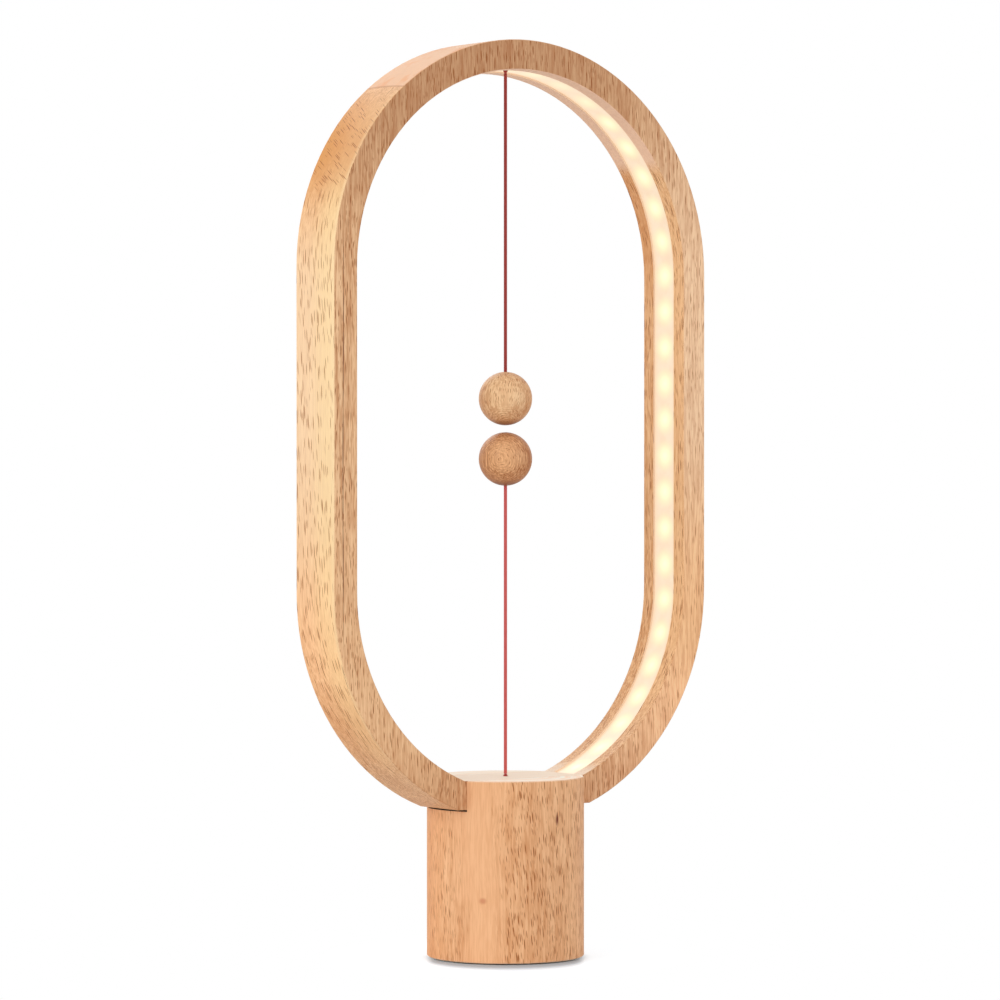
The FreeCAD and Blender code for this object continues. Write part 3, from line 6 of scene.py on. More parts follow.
import bpy
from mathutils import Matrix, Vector


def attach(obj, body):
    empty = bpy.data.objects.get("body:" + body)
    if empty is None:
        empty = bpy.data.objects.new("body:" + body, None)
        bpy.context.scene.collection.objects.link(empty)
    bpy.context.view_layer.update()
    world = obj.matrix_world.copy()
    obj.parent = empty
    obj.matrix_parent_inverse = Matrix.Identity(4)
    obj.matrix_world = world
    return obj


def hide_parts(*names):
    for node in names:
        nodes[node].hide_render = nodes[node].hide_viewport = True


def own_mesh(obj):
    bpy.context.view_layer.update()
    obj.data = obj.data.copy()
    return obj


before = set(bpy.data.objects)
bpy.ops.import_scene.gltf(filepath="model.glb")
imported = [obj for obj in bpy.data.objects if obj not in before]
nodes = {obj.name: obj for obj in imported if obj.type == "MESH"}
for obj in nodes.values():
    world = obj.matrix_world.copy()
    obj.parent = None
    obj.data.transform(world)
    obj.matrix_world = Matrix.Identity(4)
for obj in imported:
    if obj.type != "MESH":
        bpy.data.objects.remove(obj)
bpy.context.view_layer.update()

MM = 0.001


# ---------------------------------------------------------------- camera

CAMERA_PLACE = (-1.11431, -1.52573, 0.21798)
CAMERA_AIM = (-0.001925, 0.001404, 0.199833)
CAMERA_LENS = 155.445


def make_camera():
    camera = bpy.data.objects.new("camera", bpy.data.cameras.new("camera"))
    bpy.context.scene.collection.objects.link(camera)
    camera.data.lens = CAMERA_LENS
    camera.data.sensor_width = 36
    camera.data.clip_start = 0.05
    camera.data.clip_end = 50
    camera.location = CAMERA_PLACE
    look = Vector(CAMERA_AIM) - Vector(CAMERA_PLACE)
    camera.rotation_euler = look.to_track_quat("-Z", "Y").to_euler()
    bpy.context.scene.camera = camera


# ---------------------------------------------------------------- node helpers


def feed(tree, socket, value):
    """Gives a socket another socket to listen to, or its own value."""
    if isinstance(value, bpy.types.NodeSocket):
        tree.links.new(value, socket)
    else:
        socket.default_value = value


def add(tree, kind, inputs=None, **settings):
    """A new node; its settings come first, because they decide which inputs it has."""
    node = tree.nodes.new(kind)
    for name, value in settings.items():
        setattr(node, name, value)
    for name, value in (inputs or {}).items():
        feed(tree, node.inputs[name], value)
    return node


def calc(tree, operation, *values, clamp=False):
    """One Math node; works in shader trees and in geometry trees."""
    inputs = dict(enumerate(values))
    return add(tree, "ShaderNodeMath", inputs, operation=operation, use_clamp=clamp).outputs[0]


def vector_calc(tree, operation, *values, scale=None):
    """One Vector Math node: its vector, or its number for a length or a dot product."""
    node = add(tree, "ShaderNodeVectorMath", dict(enumerate(values)), operation=operation)
    if scale is not None:
        feed(tree, node.inputs["Scale"], scale)
    return node.outputs["Value" if operation in ("LENGTH", "DOT_PRODUCT") else "Vector"]


def unsigned(tree, value):
    return calc(tree, "ABSOLUTE", value)


def distance(tree, first, second):
    """The length of the long side over two short sides."""
    squares = [calc(tree, "POWER", value, 2.0) for value in (first, second)]
    return calc(tree, "SQRT", calc(tree, "ADD", *squares))


def product(tree, *factors):
    result = factors[0]
    for factor in factors[1:]:
        result = calc(tree, "MULTIPLY", result, factor)
    return result


def inverse(tree, value):
    return calc(tree, "SUBTRACT", 1.0, value)


def spread(tree, value, low, high, to_low=0.0, to_high=1.0):
    """Maps low..high to to_low..to_high with soft ends."""
    inputs = {0: value, 1: low, 2: high, 3: to_low, 4: to_high}
    return add(tree, "ShaderNodeMapRange", inputs, interpolation_type="SMOOTHSTEP").outputs[0]


def spread_evenly(tree, value, low, high, to_low=0.0, to_high=1.0):
    """Maps low..high to to_low..to_high in a straight line."""
    inputs = {0: value, 1: low, 2: high, 3: to_low, 4: to_high}
    return add(tree, "ShaderNodeMapRange", inputs, interpolation_type="LINEAR").outputs[0]


def blend(tree, factor, low, high):
    return add(tree, "ShaderNodeMix", {0: factor, 6: low, 7: high}, data_type="RGBA").outputs[2]


def placed(tree, vector, scale=(1, 1, 1), turn=(0, 0, 0), centre=(0, 0, 0)):
    """The point's place in a pattern that has its own centre, turn and scale."""
    moved = add(
        tree, "ShaderNodeMapping", {"Vector": vector, "Location": centre, "Rotation": turn},
        vector_type="TEXTURE",
    )
    return add(
        tree, "ShaderNodeMapping", {"Vector": moved.outputs[0], "Scale": scale}, vector_type="POINT"
    ).outputs[0]


def noise(tree, vector, detail=2.0, roughness=0.5):
    inputs = {"Vector": vector, "Scale": 1.0, "Detail": detail, "Roughness": roughness}
    return add(tree, "ShaderNodeTexNoise", inputs).outputs[0]


def layered(tree, across, depth, along):
    """A point of a flat pattern, which is cut out of a solid one at one depth."""
    return add(tree, "ShaderNodeCombineXYZ", {0: across, 1: depth, 2: along}).outputs[0]


def parts_of(tree, vector):
    return add(tree, "ShaderNodeSeparateXYZ", {0: vector}).outputs


def paint(red, green, blue):
    """An 8 bit screen colour as the linear colour that a shader takes."""
    linear = []
    for value in (red, green, blue):
        share = value / 255
        linear.append(share / 12.92 if share <= 0.04045 else ((share + 0.055) / 1.055) ** 2.4)
    return (*linear, 1.0)


def new_shader(name):
    """A material, its node tree, its surface node and the point in the object's own metres."""
    material = bpy.data.materials.new(name)
    material.use_nodes = True
    tree = material.node_tree
    surface = tree.nodes["Principled BSDF"]
    point = add(tree, "ShaderNodeTexCoord").outputs["Object"]
    return material, tree, surface, point


def raise_by(tree, surface, height, distance, strength):
    bump = add(
        tree, "ShaderNodeBump", {"Height": height, "Distance": distance, "Strength": strength}
    )
    feed(tree, surface.inputs["Normal"], bump.outputs[0])


# ---------------------------------------------------------------- beech

# Flecks: their two browns. WANDER is how far flecks or grain stray sideways.
FLECK = paint(146, 76, 8)
FLECK_EDGE = paint(186, 112, 54)
FLECK_WANDER = 1.2 * MM

# The loop: the heights of its two bends' centres, its outside, its half depth and its lines.
UPPER_CENTRE = 299 * MM
LOWER_CENTRE = 161 * MM
OUTER_RADIUS = 100 * MM
LOOP_HALF_DEPTH = 14.5 * MM
LOOP_WANDER = 3.5 * MM
GLUE_LINE = 377.4 * MM
GLUE_BOW = 0.5 * MM
GROWTH_LINE = -95.3 * MM
SLANT = math.radians(61)

# The base: its slot runs from side to side, and its clear stripe faces front left.
BASE_RADIUS = 34.4 * MM
BASE_WANDER = 4.5 * MM
SLOT_FLOOR = 65.7 * MM
SLOT_EDGE = 14.8 * MM
FRONT_TURN = math.radians(-36.4)

# The balls and their growth rings.
BALL_RADIUS = 11.7 * MM
BALL_WANDER = 1.2 * MM
RING_SPACING = 1.2 * MM
UPPER_BALL = (0, 0, 0.2442)
LOWER_BALL = (0, 0, 0.2178)


def bent(tree, point, amount):
    """The point moved a little sideways, so that the grain leans and wanders."""
    wander = add(
        tree, "ShaderNodeTexNoise",
        {"Vector": placed(tree, point, (45, 45, 14)), "Scale": 1.0, "Detail": 1.0},
    ).outputs[1]
    shift = vector_calc(tree, "SUBTRACT", wander, (0.5, 0.5, 0.5))
    shift = vector_calc(tree, "MULTIPLY", shift, (amount, amount, 0))
    return vector_calc(tree, "ADD", point, shift)


def ray_flecks(tree, point, width, length, size, seed=0.0):
    """Thin dashes along the grain, one in each cell of width by length: 1 inside, 0 between."""
    cells = add(
        tree, "ShaderNodeTexVoronoi",
        {"Vector": placed(tree, point, (1 / width, 1 / width, 1 / length), centre=(seed, 0, 0)),
         "Scale": 1.0, "Randomness": 0.75},
    )
    luck = parts_of(tree, cells.outputs["Color"])
    reach = spread(tree, luck[0], 0.0, 1.0, 0.5 * size, size)
    dash = spread(tree, calc(tree, "DIVIDE", cells.outputs["Distance"], reach), 1.5, 0.5)
    return product(tree, dash, spread(tree, luck[1], 0.0, 0.7, 0.4, 1.0))


def face_flecks(tree, across, along, width, length, size, seed=0.0):
    """The same dashes in a flat layer, so that each of them shows its whole length."""
    return ray_flecks(tree, layered(tree, across, 0.5 * width, along), width, length, size, seed)


def normal_parts(tree):
    return parts_of(tree, add(tree, "ShaderNodeTexCoord").outputs["Normal"])


def beech(tree, point, pale, deep, streaks=1.0):
    """Base colour with broad tone bands, fine streaks and hair lines along the grain."""
    broad = spread(tree, noise(tree, placed(tree, point, (80, 80, 8))), 0.3, 0.7)
    fine = spread(tree, noise(tree, placed(tree, point, (560, 560, 26))), 0.34, 0.66)
    hair = noise(tree, placed(tree, point, (1300, 1300, 90)), roughness=0.6)
    strong = spread(tree, hair, 0.36, 0.64)
    tone = product(tree, broad, 1.0 - 0.85 * streaks)
    tone = calc(tree, "ADD", tone, product(tree, fine, 0.25 * streaks))
    tone = calc(tree, "ADD", tone, product(tree, strong, 0.6 * streaks))
    return blend(tree, tone, deep, pale), hair


def tint(tree, colour, factor, strength, to):
    """Takes a colour part of the way to another one."""
    return blend(tree, product(tree, factor, strength), colour, to)


def gain(tree, colour, factor, by):
    """Lightens or darkens a colour and keeps its grain."""
    return blend(tree, factor, colour, vector_calc(tree, "MULTIPLY", colour, by))


def finish_wood(tree, surface, colour, fleck, hair, roughness=0.52):
    """Satin oil: the hair lines stand up a little, and the flecks lie a little deeper."""
    feed(tree, surface.inputs["Base Color"], colour)
    gloss = spread(tree, hair, 0.3, 0.7, roughness - 0.06, roughness + 0.08)
    feed(tree, surface.inputs["Roughness"], gloss)
    surface.inputs["Specular IOR Level"].default_value = 0.25
    height = calc(tree, "SUBTRACT", product(tree, hair, 0.4), fleck)
    raise_by(tree, surface, height, 0.06 * MM, 0.5)


def draw_flecks(tree, colour, fleck, strength):
    """Dark brown in the middle of a dash and a warmer brown at its edge."""
    colour = tint(tree, colour, fleck, 0.6 * strength, FLECK_EDGE)
    return tint(tree, colour, spread(tree, fleck, 0.3, 0.75), strength, FLECK)


def leant(tree, point, height, sideways):
    """The same point in a grain that leans a little out of the upright."""
    return vector_calc(tree, "ADD", point, vector_calc(tree, "SCALE", sideways, scale=height))


def slanted_flecks(tree, at):
    """Flecks that cross the outside of the upper bend at a slant, in its own curved surface."""
    rise = calc(tree, "SUBTRACT", at.z, UPPER_CENTRE)
    run = product(tree, calc(tree, "ARCTAN2", unsigned(tree, at.x), rise), OUTER_RADIUS)
    along = calc(
        tree, "SUBTRACT", product(tree, run, math.cos(SLANT)), product(tree, at.y, math.sin(SLANT))
    )
    across = calc(
        tree, "ADD", product(tree, run, math.sin(SLANT)), product(tree, at.y, math.cos(SLANT))
    )
    return face_flecks(tree, across, along, 0.52 * MM, 12.5 * MM, 0.28, seed=0.5)


def loop_regions(tree, point):
    """Where a point of the loop is, which way it faces, and how far it is in each region."""
    x, y, z = parts_of(tree, point)[:3]
    across, front, up = normal_parts(tree)[:3]
    outwards = product(tree, across, x)
    outer_side = spread(tree, outwards, 0.03, 0.075)
    flat_front = inverse(tree, spread(tree, unsigned(tree, front), 0.9, 0.4))
    crown = product(
        tree, spread(tree, z, 0.29, 0.385), flat_front, spread(tree, x, 0.085, 0.02, 0.5, 1.0)
    )
    # The glue line under the crown board leans and bows a little.
    bow = calc(tree, "POWER", calc(tree, "DIVIDE", y, LOOP_HALF_DEPTH), 2.0)
    height = calc(tree, "ADD", z, product(tree, y, -0.03))
    height = calc(tree, "ADD", height, product(tree, bow, GLUE_BOW))
    above = spread(tree, height, GLUE_LINE - 0.3 * MM, GLUE_LINE + 0.3 * MM)
    off_line = unsigned(tree, calc(tree, "SUBTRACT", height, GLUE_LINE))
    facing_up = spread(tree, up, 0.4, 0.5)
    in_groove = spread(tree, unsigned(tree, y), 8.0 * MM, 7.6 * MM)
    return SimpleNamespace(
        x=x, y=y, z=z, up=up,
        outer_side=outer_side,
        left_side=product(tree, outer_side, spread(tree, x, 0.02, -0.02)),
        inner_side=spread(tree, outwards, -0.03, -0.07),
        flat_front=flat_front,
        crown=crown,
        right=product(tree, spread(tree, x, 0.03, 0.095), inverse(tree, crown), flat_front),
        smooth=product(tree, above, facing_up),
        glue=product(tree, spread(tree, off_line, 0.6 * MM, 0.1 * MM), facing_up),
        below=product(tree, inverse(tree, above), spread(tree, up, 0.2, 0.5), outer_side),
        ceiling=product(tree, spread(tree, up, -0.3, -0.6), spread(tree, z, 0.344, 0.352)),
        cheek=product(tree, spread(tree, unsigned(tree, front), 0.5, 0.8), in_groove),
    )


def tone_loop_sides(tree, colour, at):
    """The outside is yellow on the left and carries painted light half way up there; the inner lips
    differ front and rear.
    """
    colour = tint(tree, colour, at.outer_side, 0.3, paint(250, 196, 134))
    # Painted light: the left side of the outside is painted paler half way up.
    half_way_up = product(tree, spread(tree, at.z, 0.335, 0.29), spread(tree, at.z, 0.1, 0.24))
    painted_left_light = product(tree, at.left_side, half_way_up)
    colour = tint(tree, colour, painted_left_light, 0.55, paint(255, 226, 188))
    yellow = product(tree, at.left_side, spread(tree, at.y, 0.008, -0.010))
    colour = tint(tree, colour, yellow, 0.45, paint(255, 226, 166))
    inner_rear = product(tree, at.inner_side, spread(tree, at.y, 0.005, 0.0075))
    colour = tint(tree, colour, inner_rear, 0.3, paint(226, 164, 104))
    high_up = product(tree, spread(tree, at.z, 0.28, 0.32), spread(tree, at.z, 0.352, 0.344))
    colour = tint(tree, colour, product(tree, inner_rear, high_up), 0.4, paint(214, 136, 72))
    inner_front = product(tree, at.inner_side, spread(tree, at.y, -0.005, -0.0075))
    return tint(tree, colour, inner_front, 0.45, paint(255, 202, 144))


def tone_loop_front(tree, colour, at):
    """The crown is a darker board than the two sides and is painted darker still as shade; the
    right side is the palest.
    """
    # Painted shade, in part: the crown's front is darkened beyond its own wood tone.
    colour = tint(tree, colour, at.crown, 0.5, paint(164, 104, 64))
    colour = tint(tree, colour, at.right, 0.3, paint(255, 222, 182))
    return gain(tree, colour, at.right, (1.11, 1.15, 1.23))


def tone_low_loop(tree, colour, at):
    """The tones change again towards the lower bend, and painted shade darkens the foot just above
    the base.
    """
    low_right = product(tree, at.right, spread(tree, at.z, 0.24, 0.15))
    colour = gain(tree, colour, low_right, (1.0, 0.87, 0.72))
    low_bend = product(tree, spread(tree, at.x, 0.02, 0.05), spread(tree, at.z, 0.14, 0.11))
    colour = gain(tree, colour, product(tree, low_bend, at.flat_front), (1.07, 1.07, 1.12))
    low_outside = product(tree, at.left_side, spread(tree, at.z, 0.2, 0.13))
    colour = gain(tree, colour, low_outside, (1.08, 1.01, 0.98))
    low_left = product(tree, spread(tree, at.x, -0.03, -0.08), spread(tree, at.z, 0.24, 0.16))
    low_left = product(tree, low_left, at.flat_front)
    colour = tint(tree, colour, low_left, 0.3, paint(255, 206, 156))
    # Painted shade: the front and back darken towards the base top, where the base shades the foot.
    foot = product(tree, spread(tree, at.z, 0.1, 0.075), at.flat_front)
    return tint(tree, colour, foot, 0.3, paint(182, 112, 66))


def draw_growth_line(tree, colour, point, at):
    """One long thin line on the left side of the front."""
    wave = product(tree, calc(tree, "SINE", product(tree, at.z, 38.0)), 0.15 * MM)
    aside = unsigned(tree, calc(tree, "ADD", calc(tree, "SUBTRACT", at.x, GROWTH_LINE), wave))
    faint = spread(tree, noise(tree, placed(tree, point, (0, 0, 60))), 0.35, 0.55, 0.35, 1.0)
    line = product(
        tree, spread(tree, aside, 0.3 * MM, 0.1 * MM), spread(tree, at.z, 0.13, 0.17),
        spread(tree, at.z, 0.32, 0.29), at.flat_front, faint,
    )
    return tint(tree, colour, line, 1.0, paint(100, 44, 20))


def tone_crown_board(tree, colour, point, at):
    """The crown's outside is smooth end grain down to a glue line, painted pale as sheen where it
    faces up, with darker wood below it.
    """
    # Painted sheen: the upward faces above the glue line are painted pale.
    colour = tint(tree, colour, at.smooth, 0.85, paint(236, 188, 150))
    blotch = spread(tree, noise(tree, placed(tree, point, (110, 110, 110)), detail=3.0), 0.5, 0.7)
    colour = tint(tree, colour, product(tree, at.smooth, blotch), 0.55, paint(232, 156, 100))
    colour = tint(tree, colour, at.glue, 0.45, paint(176, 104, 60))
    colour = tint(tree, colour, at.below, 0.6, paint(206, 130, 64))
    # Painted shade on the downward faces of the outside at the lower left.
    under = product(tree, spread(tree, at.up, -0.3, -0.6), spread(tree, at.x, -0.03, -0.05))
    colour = tint(tree, colour, product(tree, under, at.outer_side), 0.3, paint(206, 138, 84))
    rearward = product(tree, at.below, spread(tree, at.y, -0.012, 0.016))
    return tint(tree, colour, rearward, 0.6, paint(216, 146, 58))


def tone_pale_faces(tree, colour, at):
    """The foot's level top, the crown's inner face, and the groove's cheeks beside the strip, which
    get painted light from the strip.
    """
    foot_top = product(tree, spread(tree, at.up, 0.85, 0.95), spread(tree, at.z, 0.085, 0.081))
    colour = tint(tree, colour, foot_top, 0.85, paint(255, 238, 218))
    colour = tint(tree, colour, at.ceiling, 0.7, paint(250, 210, 184))
    # Painted light: the groove's cheeks are painted pale as if lit by the strip.
    return tint(tree, colour, at.cheek, 0.9, paint(255, 230, 206))


def loop_flecks(tree, point, at):
    """Fine flecks and longer ones, laid out over x on the front and over y on the sides."""
    steady = leant(tree, bent(tree, point, FLECK_WANDER), at.z, (0.02, -0.08, 0.0))
    level, deep, upwards = parts_of(tree, steady)[:3]
    in_face = add(
        tree, "ShaderNodeMix", {0: at.flat_front, 2: deep, 3: level}, data_type="FLOAT"
    ).outputs[0]
    upright = spread(tree, unsigned(tree, at.up), 0.97, 0.7)
    plain = product(
        tree, upright, inverse(tree, at.smooth), inverse(tree, at.ceiling), inverse(tree, at.cheek),
        inverse(tree, product(tree, at.below, 0.8)),
    )
    crowded = spread(
        tree, noise(tree, placed(tree, point, (60, 60, 12)), detail=1.0), 0.35, 0.6, 0.45, 1.0
    )
    inner = inverse(tree, product(tree, at.outer_side, 0.8))
    left_front = product(tree, spread(tree, at.x, 0.0, -0.08), at.flat_front)
    fainter = inverse(tree, product(tree, at.right, 0.4))
    some = product(tree, inverse(tree, product(tree, left_front, 0.25)), fainter)
    small = face_flecks(tree, in_face, upwards, 0.62 * MM, 6.0 * MM, 0.27)
    small = product(tree, small, plain, crowded, inner, fainter)
    long = face_flecks(tree, in_face, upwards, 0.78 * MM, 10.5 * MM, 0.26, seed=0.3)
    long = product(tree, long, plain, some, inner)
    bold = face_flecks(tree, in_face, upwards, 0.78 * MM, 11.5 * MM, 0.29, seed=0.8)
    bold = product(tree, bold, plain, at.outer_side, spread(tree, at.up, 0.5, 0.3))
    return small, calc(tree, "MAXIMUM", long, bold)


def make_loop_wood():
    material, tree, surface, point = new_shader("loop_beech")
    at = loop_regions(tree, point)
    grain = bent(tree, point, LOOP_WANDER)
    colour, hair = beech(tree, grain, paint(255, 210, 162), paint(200, 138, 90))
    colour = tone_loop_sides(tree, colour, at)
    colour = tone_loop_front(tree, colour, at)
    colour = tone_low_loop(tree, colour, at)
    colour = draw_growth_line(tree, colour, point, at)
    colour = tone_crown_board(tree, colour, point, at)
    colour = tone_pale_faces(tree, colour, at)
    small, long = loop_flecks(tree, point, at)
    slanted = product(tree, slanted_flecks(tree, at), spread(tree, at.below, 0.2, 0.5, 0.0, 0.85))
    colour = draw_flecks(tree, colour, small, 0.8)
    colour = draw_flecks(tree, colour, calc(tree, "MAXIMUM", long, slanted), 1.0)
    # Painted highlight: the outside is paler along its front arrises, where the eased edge catches
    # the light.
    arris_highlight = product(tree, spread(tree, at.y, -11.8 * MM, -LOOP_HALF_DEPTH), at.outer_side)
    colour = tint(tree, colour, arris_highlight, 0.35, paint(255, 226, 180))
    finish_wood(tree, surface, colour, calc(tree, "MAXIMUM", small, long), hair)
    return material


# Each knot's middle, its reach each way, its strength and its colour.
BASE_KNOTS = (
    ((0.0026, -0.0343, 0.0622), (0.0008, 0.0008, 0.0027), 0.95, (112, 40, 14)),
    ((-0.0273, -0.0209, 0.0275), (0.0019, 0.0019, 0.0015), 0.5, (190, 98, 62)),
)


def base_flecks(tree, point, z, kept):
    """Short flecks and longer ones in the round side of the base, which lean a little."""
    steady = leant(tree, bent(tree, point, FLECK_WANDER), z, (0.09, -0.065, 0.0))
    aside, behind = parts_of(tree, placed(tree, steady, turn=(0, 0, FRONT_TURN)))[:2]
    bearing = calc(tree, "ARCTAN2", aside, product(tree, behind, -1.0))
    around = product(tree, bearing, BASE_RADIUS)
    small = face_flecks(tree, around, z, 0.62 * MM, 6.0 * MM, 0.27, seed=0.2)
    long = face_flecks(tree, around, z, 0.80 * MM, 8.8 * MM, 0.28, seed=0.7)
    return product(tree, small, kept), product(tree, long, kept)


def tone_base_top(tree, colour, x, y, level):
    """The level faces are painted pale as sheen, with turning marks and a thin line along each edge
    of the slot.
    """
    # Painted sheen: the level faces are painted near white.
    colour = tint(tree, colour, level, 0.95, paint(255, 250, 236))
    rings = calc(tree, "ADD", product(tree, distance(tree, x, y), 500.0), product(tree, y, 120.0))
    turned = spread(tree, noise(tree, layered(tree, rings, 0.0, 0.0)), 0.42, 0.56)
    colour = tint(tree, colour, product(tree, level, turned), 0.6, paint(255, 204, 160))
    seam = unsigned(tree, calc(tree, "SUBTRACT", unsigned(tree, y), SLOT_EDGE))
    seam = product(tree, spread(tree, seam, 0.5 * MM, 0.1 * MM), level)
    return tint(tree, colour, seam, 0.6, paint(206, 156, 116))


def draw_knots(tree, colour, point):
    """A dark oval for each knot, soft at its edge."""
    for centre, spans, strength, brown in BASE_KNOTS:
        scale = tuple(1 / span for span in spans)
        away = vector_calc(tree, "LENGTH", placed(tree, point, scale, centre=centre))
        colour = tint(tree, colour, spread(tree, away, 1.3, 0.3), strength, paint(*brown))
    return colour


def make_base_wood():
    material, tree, surface, point = new_shader("base_beech")
    x, y, z = parts_of(tree, point)[:3]
    up = normal_parts(tree)[2]
    grain = bent(tree, point, BASE_WANDER)
    colour, hair = beech(tree, grain, paint(252, 200, 152), paint(214, 150, 100), streaks=0.85)
    # A stripe of clear wood runs down the front, and its edges are uneven.
    across = parts_of(tree, placed(tree, point, turn=(0, 0, FRONT_TURN)))[0]
    border = noise(tree, placed(tree, point, (90, 90, 22)), detail=3.0, roughness=0.65)
    border = calc(tree, "ADD", across, spread_evenly(tree, border, 0.3, 0.7, -5 * MM, 5 * MM))
    clear = spread(tree, border, -0.0235, -0.016)
    clear = product(tree, clear, spread(tree, border, 0.004, -0.008))
    colour = tint(tree, colour, clear, 0.55, paint(252, 194, 145))
    left_edge = spread(tree, across, -0.022, -0.034)
    colour = tint(tree, colour, left_edge, 0.35, paint(244, 164, 100))
    upright = spread(tree, unsigned(tree, up), 0.95, 0.6)
    some = spread(tree, across, -0.02, 0.012, 0.7, 1.0)
    kept = product(tree, inverse(tree, product(tree, clear, 0.85)), some, upright)
    small, long = base_flecks(tree, point, z, kept)
    level = inverse(tree, upright)
    colour = tone_base_top(tree, colour, x, y, level)
    colour = draw_flecks(tree, colour, small, 0.5)
    colour = draw_flecks(tree, colour, long, 0.85)
    colour = draw_knots(tree, colour, point)
    # Painted shade: the floor of the slot is painted near black, so the shaded gap under the loop
    # shows as a dark line.
    low = spread(tree, z, SLOT_FLOOR + 2 * MM, SLOT_FLOOR + 1 * MM)
    floor = product(tree, spread(tree, up, 0.5, 0.9), low)
    colour = tint(tree, colour, floor, 0.97, paint(40, 8, 6))
    finish_wood(tree, surface, colour, calc(tree, "MAXIMUM", small, long), hair)
    feed(tree, surface.inputs["Specular IOR Level"], spread(tree, level, 0.0, 1.0, 0.25, 0.6))
    return material


def make_ball_wood(name, centre, pole, ringed, pale, deep):
    """Turned beech: growth rings round a pole, and flecks along the rings or away from the pole."""
    material, tree, surface, point = new_shader(name)
    grain = bent(tree, point, BALL_WANDER)
    colour, hair = beech(tree, grain, pale, deep, streaks=0.9)
    local = placed(tree, grain, centre=centre)
    pole = Vector(pole).normalized()
    side = pole.orthogonal().normalized()
    depth, east, north = [
        vector_calc(tree, "DOT_PRODUCT", local, axis) for axis in (pole, side, pole.cross(side))
    ]
    reach = distance(tree, east, north)
    from_pole = product(tree, calc(tree, "ARCTAN2", reach, depth), BALL_RADIUS)
    turn = calc(tree, "ARCTAN2", north, east)
    wobble = product(tree, noise(tree, placed(tree, point, (230, 230, 230))), 2.6 * MM)
    wavy = calc(tree, "ADD", from_pole, wobble)
    ring = calc(tree, "PINGPONG", calc(tree, "DIVIDE", wavy, RING_SPACING), 0.5)
    ring = spread(tree, ring, 0.22, 0.42)
    near = spread(tree, from_pole, *ringed)
    colour = tint(tree, colour, product(tree, ring, near), 0.5, deep)
    # Painted light on the side that faces the front, and painted shade behind it.
    painted_front_light = vector_calc(tree, "DOT_PRODUCT", local, Vector((-0.6, -0.8, 0.2)).normalized())
    colour = tint(tree, colour, spread(tree, painted_front_light, 0.0075, BALL_RADIUS), 0.5, pale)
    colour = tint(tree, colour, spread(tree, painted_front_light, 0.0085, 0.003), 0.45, deep)
    width = 0.44 * MM
    arc = product(tree, turn, reach)
    rounds = face_flecks(tree, wavy, arc, width, 2.7 * MM, 0.3, seed=0.1)
    arc = product(tree, turn, BALL_RADIUS)
    outs = face_flecks(tree, arc, from_pole, width, 3.6 * MM, 0.3, seed=0.2)
    outs = product(tree, outs, inverse(tree, near))
    fleck = calc(tree, "MAXIMUM", product(tree, rounds, near), outs)
    colour = draw_flecks(tree, colour, fleck, 0.65)
    # Painted shade on the underside of each ball.
    low = spread(tree, parts_of(tree, local)[2], -0.0086, -0.0114)
    colour = tint(tree, colour, low, 0.6, paint(120, 66, 32))
    finish_wood(tree, surface, colour, fleck, hair, roughness=0.42)
    return material


# ---------------------------------------------------------------- light inside the loop

LED_PITCH = 16.2 * MM
TAPE_RADIUS = 93.6 * MM
SPOT_REACH = 4.0 * MM


def run_from_crown(tree, x, z):
    """Distance from the crown along the LED tape, the same on both sides."""
    side = unsigned(tree, x)
    above = calc(tree, "MAXIMUM", calc(tree, "SUBTRACT", z, UPPER_CENTRE), 0.0)
    below = calc(tree, "MAXIMUM", calc(tree, "SUBTRACT", LOWER_CENTRE, z), 0.0)
    upper = product(tree, calc(tree, "ARCTAN2", side, above), TAPE_RADIUS)
    lower = product(tree, calc(tree, "ARCTAN2", below, side), TAPE_RADIUS)
    straight = calc(tree, "SUBTRACT", UPPER_CENTRE, z)
    straight = calc(tree, "MINIMUM", straight, UPPER_CENTRE - LOWER_CENTRE)
    straight = calc(tree, "MAXIMUM", straight, 0.0)
    return calc(tree, "ADD", calc(tree, "ADD", upper, lower), straight)


def make_diffuser():
    """Milky strip, lit from behind: a warm spot over each LED."""
    material, tree, surface, point = new_shader("lit_diffuser")
    x, y, z = parts_of(tree, point)[:3]
    run = run_from_crown(tree, x, z)
    step = calc(tree, "DIVIDE", run, LED_PITCH)
    along = product(tree, calc(tree, "SUBTRACT", step, calc(tree, "ROUND", step)), LED_PITCH)
    away = distance(
        tree, calc(tree, "DIVIDE", along, SPOT_REACH), calc(tree, "DIVIDE", y, SPOT_REACH)
    )
    # The milk is thicker at the crown, and the spots show less there.
    clearer = spread(tree, run, 0.035, 0.075, 0.35, 1.0)
    spot = product(tree, spread(tree, away, 1.9, -0.5), clearer)
    halo = product(tree, spread(tree, away, 2.1, 0.6), clearer)
    mottle = noise(tree, placed(tree, point, (180, 180, 180)), detail=3.0)
    veil = blend(tree, spread(tree, mottle, 0.3, 0.7), paint(252, 222, 190), paint(254, 229, 200))
    edge = spread(tree, unsigned(tree, y), 0.0045, 0.0073)
    veil = tint(tree, veil, edge, 0.6, paint(252, 214, 176))
    glow = tint(tree, veil, halo, 0.7, paint(255, 246, 188))
    glow = tint(tree, glow, spot, 1.0, paint(255, 255, 214))
    unlit = blend(tree, mottle, paint(96, 88, 74), paint(104, 96, 82))
    feed(tree, surface.inputs["Base Color"], unlit)
    feed(tree, surface.inputs["Emission Color"], glow)
    feed(tree, surface.inputs["Emission Strength"], spread(tree, spot, 0.0, 1.0, 0.86, 0.98))
    feed(tree, surface.inputs["Roughness"], spread(tree, mottle, 0.3, 0.7, 0.38, 0.5))
    raise_by(tree, surface, mottle, 0.03 * MM, 0.4)
    return material


# ---------------------------------------------------------------- other finishes

WHITE = (1, 1, 1, 1)
BLACK = (0, 0, 0, 1)


